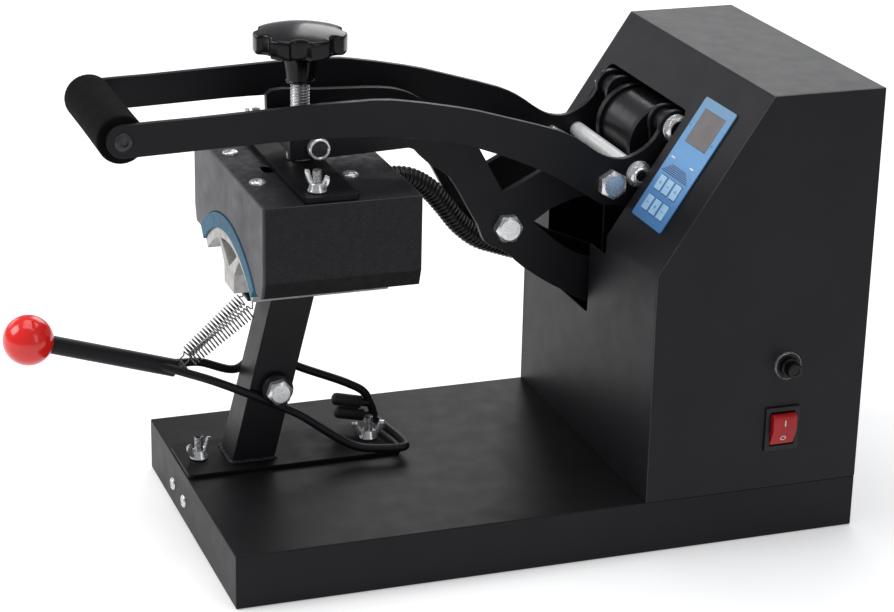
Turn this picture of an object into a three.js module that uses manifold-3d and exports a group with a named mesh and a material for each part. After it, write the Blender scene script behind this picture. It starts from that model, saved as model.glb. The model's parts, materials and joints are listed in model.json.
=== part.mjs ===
// Cap heat press: sheet steel base and housing, curved cap mould on a post,
// heated head on a swinging arm, long handle, pressure knob and brim lever.
// Millimetres, +Z up. Front (operator side) is -Y, the switch side is +X.
import * as THREE from 'three';
import Module from 'manifold-3d';

const wasm = await Module();
wasm.setup();
const { Manifold, CrossSection } = wasm;

// Sizes

// base tray and bottom plate
const baseWidth = 240;
const baseHeight = 38;
const baseSheet = 2;
const bottomSheet = 1.5;
const bottomVentLength = 60;
const bottomVentWidth = 5;
const bottomVentPitch = 14;
const bottomVentCount = 7;

// fits and gaps
const runGap = 0.3;
const fitGap = 0.1;
const overrun = 1;

// mould plate, post and mould
const mouldPlateThickness = 3;
const mouldPlateWidth = 56;
const mouldPlateInset = 1;
const mouldPlateCorner = 4;
const postRise = 125;
const postWidth = 30;
const postDepth = 31;
const postWall = 2.5;
const postLean = 30.6;
const postFootInset = 35;
const mouldLength = 96;
const mouldShift = 2.5;
const mouldArchRadius = 94.3;
const mouldWall = 7.3;
const mouldStemHalf = 13;
const mouldStemHeight = 13.5;
const mouldForkRise = 16;
const mouldForkInner = 21;
const mouldForkOuter = 27;
const archCentreDrop = 55;
const padThickness = 11;
const padAngle = 42;
const padOverhang = 2;

// heated head
const padGap = 0.8;
const platenThickness = 9;
const platenInset = 4;
const headWidth = 180;
const headSideRoom = 11.5;
const headDepth = 110;
const headHeight = 64;
const headroom = 25.4;
const headSheet = 1.5;
const headChamferHeight = 12;
const headChamferWidth = 4;
const headFrontReach = 51.5;
const bridgeThickness = 4;
const bridgeWidth = 38;
const bridgeSideInset = 2;
const bridgeLength = headWidth - 2 * bridgeSideInset;
const headStudInset = 13;
const headStudSpread = bridgeLength - 2 * headStudInset;
const headStudRadius = 3;
const headStudRise = 15;
const headStudAhead = 10;
const bridgeAhead = 3.5;
const coverHoleLength = 15;
const coverHoleWidth = 8;
const coverHoleSide = 7;
const coverHoleAhead = 25;
const conduitDrop = 18;

// arm: two plates turning on a fixed shaft
const armOffset = -35.5;
const armInnerSpan = 50;
const armThickness = 6;
const armReach = 260.5;
const pressAxisInset = 88.5;
const pivotToRear = 101;
const baseDepth = pressAxisInset + armReach + pivotToRear;
const armHeadGap = 8;
const armFrontDepth = 33;
const armDiscRadius = 28.5;
const armHubRadius = 26;
const armHubWall = 5;
const armShaftRadius = 10;
const armTailRadius = 127;
const armRise = 34;
const tieRadius = 6;
const tieHeadAcross = 18;
const tieHeadHeight = 7.5;

// clamp block, pressure screw and knob
const blockDepth = 28;
const blockHeight = 18;
const blockPinOffset = 3.5;
const blockPinRadius = 5;
const blockPinHeadRadius = 7.6;
const blockPinHeadHeight = 6;
const screwRadius = 6.8;
const screwNeckRadius = 5;
const screwCollarRadius = 9.5;
const screwCollarHeight = 4;
const screwFlangeHeight = 2;
const screwPitch = 2;
const screwTurns = 3;
const knobRadius = 32;
const knobLobes = 7;
const knobLobeDepth = 4.5;
const knobRimHeight = 13.5;
const knobCrown = 4.5;
const knobHubHeight = 22;
const knobHubRadius = 14;
const knobHubFootRadius = 9.5;
const knobSeat = 58;

// handle: two plates turning on fixed stubs
const handleInnerSpan = 107;
const handleThickness = 5;
const handleReach = 388.5;
const handlePivotForward = 6.5;
const handlePivotUp = 20;
const handleEarRadius = 12.3;
const handleEndRadius = 11;
const handleLift = 60;
const stubRadius = 6;
const stubCollarRadius = 9;
const stubWasherRadius = 10;
const stubWasherHeight = 1.5;
const stubNutAcross = 17;
const stubNutHeight = 5.4;
const rodRadius = 5.8;
const rodWasherRadius = 9.4;
const rodWasherHeight = 2;
const rodNutAcross = 14;
const rodNutHeight = 5;
const boltRadius = 5;
const boltHeadAcross = 18;
const boltHeadHeight = 7.5;
const boltHeadTurn = 60;
const boltNutHeight = 7;
const gripRodRadius = 7;
const gripHeadRadius = 6.5;
const gripHeadHeight = 2;
const foamRadius = 16.3;

// housing
const housingSheet = 1.5;
const housingSetback = 59;
const foldBelowPivot = 51;
const topAbovePivot = 67;
const slopeRun = 78;
const windowSideGap = 9.5;
const windowTopGap = 14.6;
const windowDrop = 15;
const windowCorner = 6;
const slotSideGap = 8;
const slotSillGap = 5.5;

// pivot frame inside the housing
const frameThickness = 4;
const frameSideGap = 5;
const frameFootWidth = 20;
const frameFootRear = 52;
const frameFootFront = 16;
const frameNeckWidth = 34;
const frameEyeRadius = 12;

// controller on the slope
const fasciaWidth = 48;
const fasciaLength = 94.5;
const fasciaThickness = 1;
const fasciaCorner = 2;
const fasciaSideInset = 26.5;
const fasciaRise = 23.5;
const displayWidth = 32;
const displayLength = 26;
const displayThickness = 1;
const displayTopInset = 7.5;
const keyWidth = 9;
const keyLength = 11;
const keyHeight = 1;
const keyPitch = 12;
const keyRowPitch = 15.8;
const keyRowInset = 12.6;
const keyTravel = 0.5;
const keyLift = 0.6;
const keyGap = 0.3;

// switch and fuse on the right side panel
const switchHeight = 32;
const switchWidth = 25.6;
const switchFlange = 2;
const switchBodyDepth = 22;
const switchBorder = 2.4;
const switchInset = 60.6;
const switchRise = 44;
const rockerProud = 4.5;
const rockerDepth = 8;
const rockerSwing = 24;
const fuseRise = 90.4;
const fuseInset = 59.4;
const fuseFlangeRadius = 9.6;
const fuseFlangeHeight = 3;
const fuseBarrelRadius = 6.4;
const fuseBarrelDepth = 34;
const fuseCapRadius = 5.6;
const fuseCapLength = 10;
const fuseBore = 3.6;
const fuseCartridgeRadius = 3;
const fuseCartridgeLength = 28;

// rear panel
const rearVentLength = 46;
const rearVentWidth = 4;
const rearVentPitch = 11;
const rearVentCount = 7;
const rearVentSpread = 120;
const rearVentRise = 150;
const inletWidth = 27.5;
const inletHeight = 20;
const inletFlange = 2.5;
const inletFlangeBorder = 5;
const inletDepth = 24;
const inletWall = 2.2;
const inletRise = 36;
const inletInset = 48;
const inletPinWidth = 2;
const inletPinHeight = 5;
const inletPinSpread = 7;
const inletPinLength = 14;

// wing nuts
const wingHubRadius = 5.2;
const wingHubHeight = 6;
const wingSpan = 24;
const wingHeight = 9;
const wingThickness = 2.6;
const wingBore = 3.3;
const baseStudRise = 17;
const baseStudInset = 15;
const rearNutGap = 11.5;
const mouldPlateRear = 16;
const wingTurnFront = 122;
const wingTurnRear = 80;
const wingTurnHead = 25;

// brim lever
const leverPivotRise = 53.5;
const leverPivotInset = 67;
const leverBoltRadius = 4.7;
const leverBoltHeadAcross = 16;
const leverBoltHeadHeight = 6.4;
const leverRingRadius = 11;
const leverRingWidth = 6.4;
const leverRodRadius = 3;
const leverTubeRadius = 6.3;
const leverPostGap = 0.6;
const leverSpread = postWidth / 2 + leverRodRadius + leverPostGap;
const leverReach = 169;
const leverBallRise = 48;
const leverBallRadius = 17.4;
const leverBallSeat = 10;
const leverSleeveRadius = 4.6;
const leverSleeveLength = 22;
const leverSleeveSetback = 8.5;
const leverSleeveCap = 3;
const leverLegGap = 2.4;

// brim springs
const springRadius = 4.5;
const springWire = 1;
const springCurls = 20;
const springFootSpread = 11;
const springTopSpread = 25;
const springLead = 6;
const springPlateReach = 17;
const springPlateDrop = 3;
const springPlateThickness = 3;
const springTail = 7;
const springTailInset = 4;

// conduit from the head to the housing
const conduitRadius = 8;
const conduitGroove = 1.1;
const conduitBore = 5.6;
const conduitRibs = 76;
const conduitOffset = -8;
const conduitFit = 0.4;

// faceting
const fine = 32;
const medium = 18;
const coarse = 12;
const rodSides = 6;
const outlineTolerance = 0.13;

// Places that follow from the sizes

const halfBase = baseWidth / 2;
const halfHandleSpan = handleInnerSpan / 2;
const handleOuter = halfHandleSpan + handleThickness;
const halfArmSpan = armInnerSpan / 2;
const armOuter = halfArmSpan + armThickness;

// height chain: base, mould plate, post, mould, pad, head, arm, housing
const mouldPlateTop = baseHeight + mouldPlateThickness;
const mouldFoot = mouldPlateTop + postRise;
const archCentreZ = mouldFoot - archCentreDrop;
const padRadius = mouldArchRadius + padThickness;
const platenInner = padRadius + padGap;
const platenOuter = platenInner + platenThickness;
const platenAngle = Math.asin((headWidth / 2 - headSideRoom) / platenOuter) * 180 / Math.PI;
const headTop = archCentreZ + platenOuter + headroom;
const headBottom = headTop - headHeight;
const bridgeTop = headTop + bridgeThickness;
const armUnderside = bridgeTop + armHeadGap;
const armUnderShare = 0.0385;
const pivotZ = armUnderside - armUnderShare * armReach;
const foldZ = pivotZ - foldBelowPivot;
const roofZ = pivotZ + topAbovePivot;

// depth chain: the press axis, the arm pivot, the housing front
const pressY = pressAxisInset;
const headFrontY = pressY - headFrontReach;
const headRearY = headFrontY + headDepth;
const pivotY = pressY + armReach;
const housingY = pivotY - housingSetback;
const slopeTopY = housingY + slopeRun;
const handleY = pivotY - handlePivotForward;
const handleZ = pivotZ + handlePivotUp;
const gripRiseShare = 0.053;
const gripY = handleY - handleReach;
const gripZ = handleZ + gripRiseShare * handleReach;
const mouldMidY = pressY - mouldShift;
const headStudY = pressY - headStudAhead;

const slopeAngle = Math.atan2(roofZ - foldZ, slopeRun);
const slopeAlong = new THREE.Vector2(Math.cos(slopeAngle), Math.sin(slopeAngle));

// Shape helpers

const degrees = (angle) => angle * Math.PI / 180;

function toGeometry(solid) {
  const data = solid.getMesh();
  const geometry = new THREE.BufferGeometry();
  const places = new Float32Array(data.numVert * 3);
  for (let i = 0; i < data.numVert; i++) {
    for (let k = 0; k < 3; k++) places[i * 3 + k] = data.vertProperties[i * data.numProp + k];
  }
  geometry.setAttribute('position', new THREE.BufferAttribute(places, 3));
  geometry.setIndex(new THREE.BufferAttribute(new Uint32Array(data.triVerts), 1));
  geometry.computeVertexNormals();
  return geometry;
}

function toSolid(places, faces) {
  const data = new wasm.Mesh({
    numProp: 3,
    vertProperties: new Float32Array(places),
    triVerts: new Uint32Array(faces),
  });
  data.merge();
  return new Manifold(data);
}

function piece(group, name, solid, colour, roughness, metalness) {
  const geometry = solid.isBufferGeometry ? solid : toGeometry(solid);
  const material = new THREE.MeshStandardMaterial({ color: colour, roughness, metalness });
  const mesh = new THREE.Mesh(geometry, material);
  mesh.name = name;
  group.add(mesh);
  return mesh;
}

function join(...solids) {
  return Manifold.union(solids);
}

// box given by its lowest and highest corner
function block(x0, x1, y0, y1, z0, z1) {
  return Manifold.cube([x1 - x0, y1 - y0, z1 - z0]).translate([x0, y0, z0]);
}

// outline in (Y, Z), drawn out along X from x0 to x1
function alongX(section, x0, x1) {
  const turned = section.extrude(x1 - x0).transform([0, 1, 0, 0, 0, 0, 1, 0, 1, 0, 0, 0, 0, 0, 0, 1]);
  return turned.translate([x0, 0, 0]);
}

// outline in (X, Z), drawn out along Y from y0 to y1
function alongY(section, y0, y1) {
  const turned = section.extrude(y1 - y0).transform([1, 0, 0, 0, 0, 0, 1, 0, 0, -1, 0, 0, 0, 0, 0, 1]);
  return turned.translate([0, y1, 0]);
}

// outline in (X, Y), drawn up along Z from z0 to z1
function alongZ(section, z0, z1) {
  return section.extrude(z1 - z0).translate([0, 0, z0]);
}

function disc(radius, y, z, sides = medium) {
  return CrossSection.circle(radius, sides).translate([y, z]);
}

function rodX(radius, x0, x1, y, z, sides = medium) {
  return alongX(disc(radius, y, z, sides), x0, x1);
}

function rodZ(radius, x, y, z0, z1, sides = medium) {
  return alongZ(disc(radius, x, y, sides), z0, z1);
}

function hexagon(across, y, z, turn = 90) {
  return CrossSection.circle(across / Math.sqrt(3), 6).rotate(turn).translate([y, z]);
}

function roundedBox(x0, x1, y0, y1, corner) {
  const core = CrossSection.square([x1 - x0 - 2 * corner, y1 - y0 - 2 * corner]);
  return core.translate([x0 + corner, y0 + corner]).offset(corner, 'Round', 2, coarse);
}

// plane figure from one closed line of points, drawn either way round
function figure(points) {
  return CrossSection.ofPolygons([points], 'NonZero');
}

// smooth open curve through points
function smoothLine(points, steps) {
  const curve = new THREE.CatmullRomCurve3(
    points.map((p) => new THREE.Vector3(p[0], p[1], p[2] ?? 0)), false, 'centripetal');
  return curve.getPoints(steps).map((p) => [p.x, p.y, p.z]);
}

const flat = (points) => points.map((p) => [p[0], p[1]]);

// sheet of one thickness along an open outline, on its right-hand side
function sheetOutline(points, thickness) {
  const inner = points.map((p, i) => {
    const before = points[Math.max(i - 1, 0)];
    const after = points[Math.min(i + 1, points.length - 1)];
    const one = new THREE.Vector2(p[0] - before[0], p[1] - before[1]);
    const two = new THREE.Vector2(after[0] - p[0], after[1] - p[1]);
    if (one.length() === 0) one.copy(two);
    if (two.length() === 0) two.copy(one);
    const n1 = new THREE.Vector2(one.y, -one.x).normalize();
    const n2 = new THREE.Vector2(two.y, -two.x).normalize();
    const mid = n1.clone().add(n2).normalize();
    const reach = thickness / mid.dot(n1);
    return [p[0] + mid.x * reach, p[1] + mid.y * reach];
  });
  return figure([...points, ...inner.reverse()]);
}

// frames carried along a path without twisting
function pathFrames(path) {
  const points = path.map((p) => new THREE.Vector3(...p));
  const frames = [];
  let side = null;
  points.forEach((p, i) => {
    const before = points[Math.max(i - 1, 0)];
    const after = points[Math.min(i + 1, points.length - 1)];
    const ahead = after.clone().sub(before).normalize();
    if (side === null) {
      const guess = Math.abs(ahead.x) < Math.SQRT1_2 ? new THREE.Vector3(1, 0, 0) : new THREE.Vector3(0, 0, 1);
      side = guess.sub(ahead.clone().multiplyScalar(guess.dot(ahead))).normalize();
    } else {
      side = side.clone().sub(ahead.clone().multiplyScalar(side.dot(ahead))).normalize();
    }
    frames.push({ place: p, side: side.clone(), up: ahead.clone().cross(side) });
  });
  return frames;
}

function ringPoints(frame, radius, sides) {
  const points = [];
  for (let k = 0; k < sides; k++) {
    const angle = k * 2 * Math.PI / sides;
    const p = frame.place.clone();
    p.addScaledVector(frame.side, radius * Math.cos(angle));
    p.addScaledVector(frame.up, radius * Math.sin(angle));
    points.push(p.x, p.y, p.z);
  }
  return points;
}

// one unbroken tube; radii may change from ring to ring
function sweepData(path, radii, sides) {
  const frames = pathFrames(path);
  const places = [];
  const faces = [];
  frames.forEach((frame, i) => places.push(...ringPoints(frame, radii[i], sides)));
  for (let i = 0; i + 1 < frames.length; i++) {
    for (let k = 0; k < sides; k++) {
      const a = i * sides + k;
      const b = i * sides + (k + 1) % sides;
      faces.push(a, b, b + sides, a, b + sides, a + sides);
    }
  }
  const last = (frames.length - 1) * sides;
  for (let k = 1; k + 1 < sides; k++) {
    faces.push(0, k + 1, k);
    faces.push(last, last + k, last + k + 1);
  }
  return { places, faces };
}

function sweep(path, radius, sides) {
  const data = sweepData(path, path.map(() => radius), sides);
  return toSolid(data.places, data.faces);
}

function bufferFrom(places, faces) {
  const geometry = new THREE.BufferGeometry();
  geometry.setAttribute('position', new THREE.BufferAttribute(new Float32Array(places), 3));
  geometry.setIndex(faces);
  geometry.computeVertexNormals();
  return geometry;
}

// turn a (Y, Z) point about a pivot; a positive angle lifts the front
function lift(point, pivot, angle) {
  const c = Math.cos(degrees(angle));
  const s = Math.sin(degrees(angle));
  const y = point[0] - pivot[0];
  const z = point[1] - pivot[1];
  return [pivot[0] + y * c + z * s, pivot[1] - y * s + z * c];
}

// Groups

const press = new THREE.Group();
press.name = 'cap_heat_press';
press.position.y = -baseDepth / 2;
const makeGroup = (name, parent = press) => {
  const group = new THREE.Group();
  group.name = name;
  parent.add(group);
  return group;
};
const base = makeGroup('base_group');
const housing = makeGroup('housing_group');
const mould = makeGroup('mould_group');
const lever = makeGroup('lever_group');
const arm = makeGroup('arm_group');
const head = makeGroup('head_group');
const handle = makeGroup('handle_group');

const paint = 0x26262b;
const zinc = 0xc9cbcc;

// Base tray, studs and bottom plate

const studX = armOffset;
const studFrontY = baseStudInset;
const studRearY = leverPivotInset + leverReach / 2 - rearNutGap;
const baseStudRadius = wingBore - runGap;

function makeBaseTray() {
  const outer = block(-halfBase, halfBase, 0, baseDepth, 0, baseHeight);
  const inner = block(-halfBase + baseSheet, halfBase - baseSheet,
    baseSheet, baseDepth - baseSheet, -overrun, baseHeight - baseSheet);
  const studTop = mouldPlateTop + baseStudRise;
  const studs = [studFrontY, studRearY].map(
    (y) => rodZ(baseStudRadius, studX, y, baseHeight - baseSheet, studTop, coarse));
  return join(outer.subtract(inner), ...studs);
}
piece(base, 'base_tray', makeBaseTray(), paint, 0.55, 0.3);

function makeBottomPlate() {
  const plate = block(-halfBase + baseSheet, halfBase - baseSheet,
    baseSheet, baseDepth - baseSheet, 0, bottomSheet);
  const ventSpan = bottomVentPitch * (bottomVentCount - 1);
  const vents = [];
  for (let i = 0; i < bottomVentCount; i++) {
    const y = pivotY + i * bottomVentPitch - ventSpan / 2;
    vents.push(block(-bottomVentLength / 2, bottomVentLength / 2,
      y - bottomVentWidth / 2, y + bottomVentWidth / 2, -overrun, bottomSheet + overrun));
  }
  return plate.subtract(join(...vents));
}
piece(base, 'bottom_plate', makeBottomPlate(), 0x3a3b3f, 0.6, 0.4);

// Housing

const housingOutline = [
  [housingY, baseHeight], [housingY, foldZ], [slopeTopY, roofZ], [baseDepth, roofZ],
];
const sideOutline = [...housingOutline, [baseDepth, baseHeight]];
const windowHalf = handleOuter + windowSideGap;
const slotHalf = armOuter + slotSideGap;

// height along the slope of the handle pivot, seen square to the slope
const pivotAlongSlope = (handleY - housingY) * slopeAlong.x + (handleZ - foldZ) * slopeAlong.y;
const windowTop = pivotAlongSlope + windowTopGap - runGap * 2;
const windowSill = foldZ - windowDrop;
const tailReach = Math.sqrt(armTailRadius ** 2 - housingSetback ** 2);
const slotSill = pivotZ - tailReach - slotSillGap;

function toSlope(solid) {
  return solid.rotate([slopeAngle * 180 / Math.PI, 0, 0]).translate([0, housingY, foldZ]);
}

function makeWrap() {
  const sheet = sheetOutline(housingOutline, housingSheet);
  const wrap = alongX(sheet, -halfBase + housingSheet, halfBase - housingSheet);
  const windowPlan = roundedBox(armOffset - windowHalf, armOffset + windowHalf,
    -windowCorner * 2, windowTop, windowCorner);
  const windowCut = toSlope(alongZ(windowPlan, -windowCorner, windowCorner));
  const mouth = roundedBox(armOffset - windowHalf, armOffset + windowHalf,
    windowSill, foldZ + windowCorner, windowCorner);
  const slot = roundedBox(armOffset - slotHalf, armOffset + slotHalf,
    slotSill, foldZ + windowCorner, windowCorner / 2);
  const mouthCut = alongY(mouth.add(slot), housingY - overrun, housingY + windowCorner);
  return wrap.subtract(windowCut).subtract(mouthCut);
}
piece(housing, 'housing_wrap', makeWrap(), paint, 0.55, 0.3);

const switchY = baseDepth - switchInset;
const switchZ = baseHeight + switchRise;
const fuseY = baseDepth - fuseInset;
const fuseZ = baseHeight + fuseRise;
const switchCutWidth = switchWidth - 2 * switchBorder;
const switchCutHeight = switchHeight - 2 * switchBorder;

function makeSidePanel(cuts) {
  return figure(sideOutline).subtract(cuts);
}
const switchCut = CrossSection.square([switchCutWidth + 2 * fitGap, switchCutHeight + 2 * fitGap], true)
  .translate([switchY, switchZ]);
const fuseCut = disc(fuseBarrelRadius + fitGap, fuseY, fuseZ);
const rightPanel = makeSidePanel(switchCut.add(fuseCut));
piece(housing, 'side_panel_right', alongX(rightPanel, halfBase - housingSheet, halfBase), paint, 0.55, 0.3);
const leftPanel = figure(sideOutline);
piece(housing, 'side_panel_left', alongX(leftPanel, -halfBase, -halfBase + housingSheet), paint, 0.55, 0.3);

const inletX = halfBase - inletInset;
const inletZ = baseHeight + inletRise;

function makeRearPanel() {
  const panel = block(-halfBase + housingSheet, halfBase - housingSheet,
    baseDepth - housingSheet, baseDepth, baseHeight, roofZ - housingSheet);
  const cuts = [];
  const ventSpan = rearVentPitch * (rearVentCount - 1);
  for (let i = 0; i < rearVentCount; i++) {
    const z = baseHeight + rearVentRise + i * rearVentPitch - ventSpan / 2;
    for (const side of [-1, 1]) {
      const x = side * rearVentSpread / 4;
      cuts.push(block(x - rearVentLength / 2, x + rearVentLength / 2,
        baseDepth - housingSheet - overrun, baseDepth + overrun, z - rearVentWidth / 2, z + rearVentWidth / 2));
    }
  }
  cuts.push(block(inletX - inletWidth / 2 - fitGap, inletX + inletWidth / 2 + fitGap,
    baseDepth - housingSheet - overrun, baseDepth + overrun,
    inletZ - inletHeight / 2 - fitGap, inletZ + inletHeight / 2 + fitGap));
  return panel.subtract(join(...cuts));
}
piece(housing, 'rear_panel', makeRearPanel(), paint, 0.55, 0.3);

// mains inlet with its recess and three pins
function makeInlet() {
  const flangeX = inletWidth / 2 + inletFlangeBorder;
  const flangeZ = inletHeight / 2 + inletFlangeBorder / 2;
  const flange = block(inletX - flangeX, inletX + flangeX,
    baseDepth, baseDepth + inletFlange, inletZ - flangeZ, inletZ + flangeZ);
  const body = block(inletX - inletWidth / 2, inletX + inletWidth / 2,
    baseDepth - inletDepth, baseDepth + inletFlange, inletZ - inletHeight / 2, inletZ + inletHeight / 2);
  const recess = block(inletX - inletWidth / 2 + inletWall, inletX + inletWidth / 2 - inletWall,
    baseDepth - inletDepth + inletWall, baseDepth + inletFlange + overrun,
    inletZ - inletHeight / 2 + inletWall, inletZ + inletHeight / 2 - inletWall);
  const pins = [-1, 0, 1].map((step) => {
    const x = inletX + step * inletPinSpread;
    const z = inletZ + (step === 0 ? inletPinHeight / 3 : -inletPinHeight / 3);
    return block(x - inletPinWidth / 2, x + inletPinWidth / 2,
      baseDepth - inletDepth, baseDepth - inletDepth + inletWall + inletPinLength,
      z - inletPinHeight / 2, z + inletPinHeight / 2);
  });
  return join(join(flange, body).subtract(recess), ...pins);
}
piece(housing, 'power_inlet', makeInlet(), 0x17171a, 0.5, 0);

// Pivot frame, arm shaft and handle stubs

const frameInner = armOuter + frameSideGap;
const frameOuter = frameInner + frameThickness;
const frameFootTop = baseHeight + frameThickness;

function makePivotFrame() {
  const neck = frameNeckWidth / 2;
  const upright = figure([
    [pivotY - frameFootFront, baseHeight], [pivotY + frameFootRear, baseHeight],
    [pivotY + frameFootRear, frameFootTop + frameFootWidth], [pivotY + neck, pivotZ],
    [handleY + frameEyeRadius, handleZ], [handleY - frameEyeRadius, handleZ],
    [pivotY - neck / 2 - frameThickness, pivotZ - neck], [pivotY - frameFootFront, pivotZ - neck * 2],
  ]);
  const plan = upright.add(disc(frameEyeRadius, handleY, handleZ))
    .subtract(disc(armShaftRadius + fitGap, pivotY, pivotZ))
    .subtract(disc(stubRadius + fitGap, handleY, handleZ));
  const sides = [-1, 1].map((side) => {
    const x0 = armOffset + (side > 0 ? frameInner : -frameOuter);
    return alongX(plan, x0, x0 + frameThickness);
  });
  const footHalf = frameOuter + frameFootWidth / 2;
  const foot = block(armOffset - footHalf, armOffset + footHalf,
    pivotY - frameFootFront, pivotY + frameFootRear, baseHeight, frameFootTop);
  const brace = block(armOffset - frameInner - frameThickness / 2, armOffset + frameInner + frameThickness / 2,
    pivotY + frameFootRear - frameThickness, pivotY + frameFootRear, baseHeight, frameFootTop + frameFootWidth);
  return join(...sides, foot, brace);
}
piece(housing, 'pivot_frame', makePivotFrame(), 0x2e2f33, 0.6, 0.4);

function makeArmShaft() {
  const collar = armShaftRadius + frameThickness / 2;
  return join(
    rodX(armShaftRadius, armOffset - frameOuter - frameThickness, armOffset + frameOuter + frameThickness,
      pivotY, pivotZ),
    rodX(collar, armOffset - frameOuter - frameThickness, armOffset - frameOuter - fitGap, pivotY, pivotZ),
    rodX(collar, armOffset + frameOuter + fitGap, armOffset + frameOuter + frameThickness, pivotY, pivotZ));
}
piece(housing, 'arm_shaft', makeArmShaft(), zinc, 0.35, 0.9);

// stub, spacer collar, washer and nut that carry one handle plate
function makeStub(side) {
  const span = (radius, from, to, sides) => {
    const ends = [armOffset + side * from, armOffset + side * to];
    return rodX(radius, Math.min(...ends), Math.max(...ends), handleY, handleZ, sides);
  };
  const washerFrom = handleOuter + runGap;
  const nutFrom = washerFrom + stubWasherHeight;
  const nutEnds = [armOffset + side * nutFrom, armOffset + side * (nutFrom + stubNutHeight)];
  const nut = alongX(hexagon(stubNutAcross, handleY, handleZ), Math.min(...nutEnds), Math.max(...nutEnds));
  return join(
    span(stubRadius, frameInner, nutFrom + stubNutHeight / 2, medium),
    span(stubCollarRadius, frameOuter, halfHandleSpan - runGap, medium),
    span(stubWasherRadius, washerFrom, nutFrom, fine),
    nut);
}
piece(housing, 'handle_stub_right', makeStub(1), zinc, 0.35, 0.9);
piece(housing, 'handle_stub_left', makeStub(-1), zinc, 0.35, 0.9);

// Controller on the slope

const panel = makeGroup('controller_group', housing);
panel.position.set(0, housingY, foldZ);
panel.rotation.x = slopeAngle;

const fasciaRight = halfBase - fasciaSideInset;
const fasciaLeft = fasciaRight - fasciaWidth;
const fasciaMid = (fasciaLeft + fasciaRight) / 2;
const fasciaFoot = fasciaRise;
const fasciaHead = fasciaRise + fasciaLength;
const displayHead = fasciaHead - displayTopInset;
const keyPlaces = [];
for (const row of [1, 0]) {
  for (const column of [-1, 0, 1]) {
    keyPlaces.push([fasciaMid + column * keyPitch, fasciaFoot + keyRowInset + row * keyRowPitch]);
  }
}

function centredPlan(x, y, width, length) {
  return CrossSection.square([width, length], true).translate([x, y]);
}

function makeFascia() {
  let plan = roundedBox(fasciaLeft, fasciaRight, fasciaFoot, fasciaHead, fasciaCorner);
  plan = plan.subtract(centredPlan(fasciaMid, displayHead - displayLength / 2,
    displayWidth + 2 * fitGap, displayLength + 2 * fitGap));
  for (const [x, y] of keyPlaces) {
    plan = plan.subtract(centredPlan(x, y, keyWidth + 2 * keyGap, keyLength + 2 * keyGap));
  }
  return alongZ(plan, runGap, runGap + fasciaThickness);
}
piece(panel, 'fascia', makeFascia(), 0x3f86c8, 0.45, 0);

const displayPlan = centredPlan(fasciaMid, displayHead - displayLength / 2, displayWidth, displayLength);
piece(panel, 'display', alongZ(displayPlan, runGap, runGap + displayThickness), 0x5b5c60, 0.25, 0);

keyPlaces.forEach(([x, y], i) => {
  const plan = centredPlan(x, y, keyWidth, keyLength);
  const foot = runGap + keyLift;
  piece(panel, `key_${i + 1}`, alongZ(plan, foot, foot + keyHeight), 0xbfe0f2, 0.5, 0);
});

// Switch and fuse

function makeSwitchBody() {
  const flange = CrossSection.square([switchWidth, switchHeight], true).translate([switchY, switchZ]);
  const bodyPlan = CrossSection.square([switchCutWidth, switchCutHeight], true).translate([switchY, switchZ]);
  const solid = join(
    alongX(flange, halfBase, halfBase + switchFlange),
    alongX(bodyPlan, halfBase - switchBodyDepth, halfBase + switchFlange));
  const well = CrossSection.square(
    [switchCutWidth - switchBorder, switchCutHeight - switchBorder], true).translate([switchY, switchZ]);
  const wellFloor = halfBase - switchBodyDepth + switchBorder;
  return solid.subtract(alongX(well, wellFloor, halfBase + switchFlange + overrun));
}
piece(housing, 'switch_body', makeSwitchBody(), 0xb8141a, 0.4, 0);

// rocker: two flat faces that meet at a ridge, tipped to its off side
const rockerPivotX = halfBase + switchFlange;
function makeRocker() {
  const halfLength = (switchCutHeight - switchBorder) / 2 - keyGap * 3;
  const halfWide = (switchCutWidth - switchBorder) / 2 - keyGap;
  const shoulder = rockerProud - halfLength * Math.tan(degrees(rockerSwing / 2));
  const plan = figure([
    [rockerProud, 0], [shoulder, halfLength], [-shoulder, halfLength], [-rockerDepth, halfLength / 2],
    [-rockerDepth, -halfLength / 2], [-shoulder, -halfLength], [shoulder, -halfLength],
  ]);
  return alongY(plan, -halfWide, halfWide);
}
const rockerMesh = piece(housing, 'rocker', makeRocker(), 0xd81f26, 0.3, 0);
rockerMesh.position.set(rockerPivotX, switchY, switchZ);
rockerMesh.rotation.y = degrees(rockerSwing / 2);

const capSeat = halfBase + fuseFlangeHeight;
function makeFuseHolder() {
  return join(
    rodX(fuseFlangeRadius, halfBase, capSeat, fuseY, fuseZ, fine),
    rodX(fuseBarrelRadius, halfBase - fuseBarrelDepth, capSeat, fuseY, fuseZ, medium))
    .subtract(rodX(fuseBore, halfBase - fuseBarrelDepth + fuseFlangeHeight, capSeat + overrun, fuseY, fuseZ, medium));
}
piece(housing, 'fuse_holder', makeFuseHolder(), 0x18181b, 0.45, 0);
const fuseTip = capSeat - fuseCartridgeLength;
piece(housing, 'fuse_cartridge',
  rodX(fuseCartridgeRadius, fuseTip, capSeat - runGap / 2, fuseY, fuseZ, coarse), 0xc8ccd0, 0.3, 0.3);
function makeFuseCap() {
  const skirt = capSeat + runGap;
  const capBody = join(
    rodX(fuseCapRadius, skirt, skirt + fuseCapLength, fuseY, fuseZ, medium),
    rodX(fuseCapRadius + fuseFlangeHeight / 2, skirt, skirt + fuseFlangeHeight, fuseY, fuseZ, medium));
  const slotHalfWidth = runGap * 2;
  const slotCut = block(skirt + fuseCapLength - fuseFlangeHeight / 2, skirt + fuseCapLength + overrun,
    fuseY - fuseCapRadius * 2, fuseY + fuseCapRadius * 2, fuseZ - slotHalfWidth, fuseZ + slotHalfWidth);
  return capBody.subtract(slotCut);
}
piece(housing, 'fuse_cap', makeFuseCap(), 0x141416, 0.35, 0);

// Mould plate, post and mould

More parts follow.
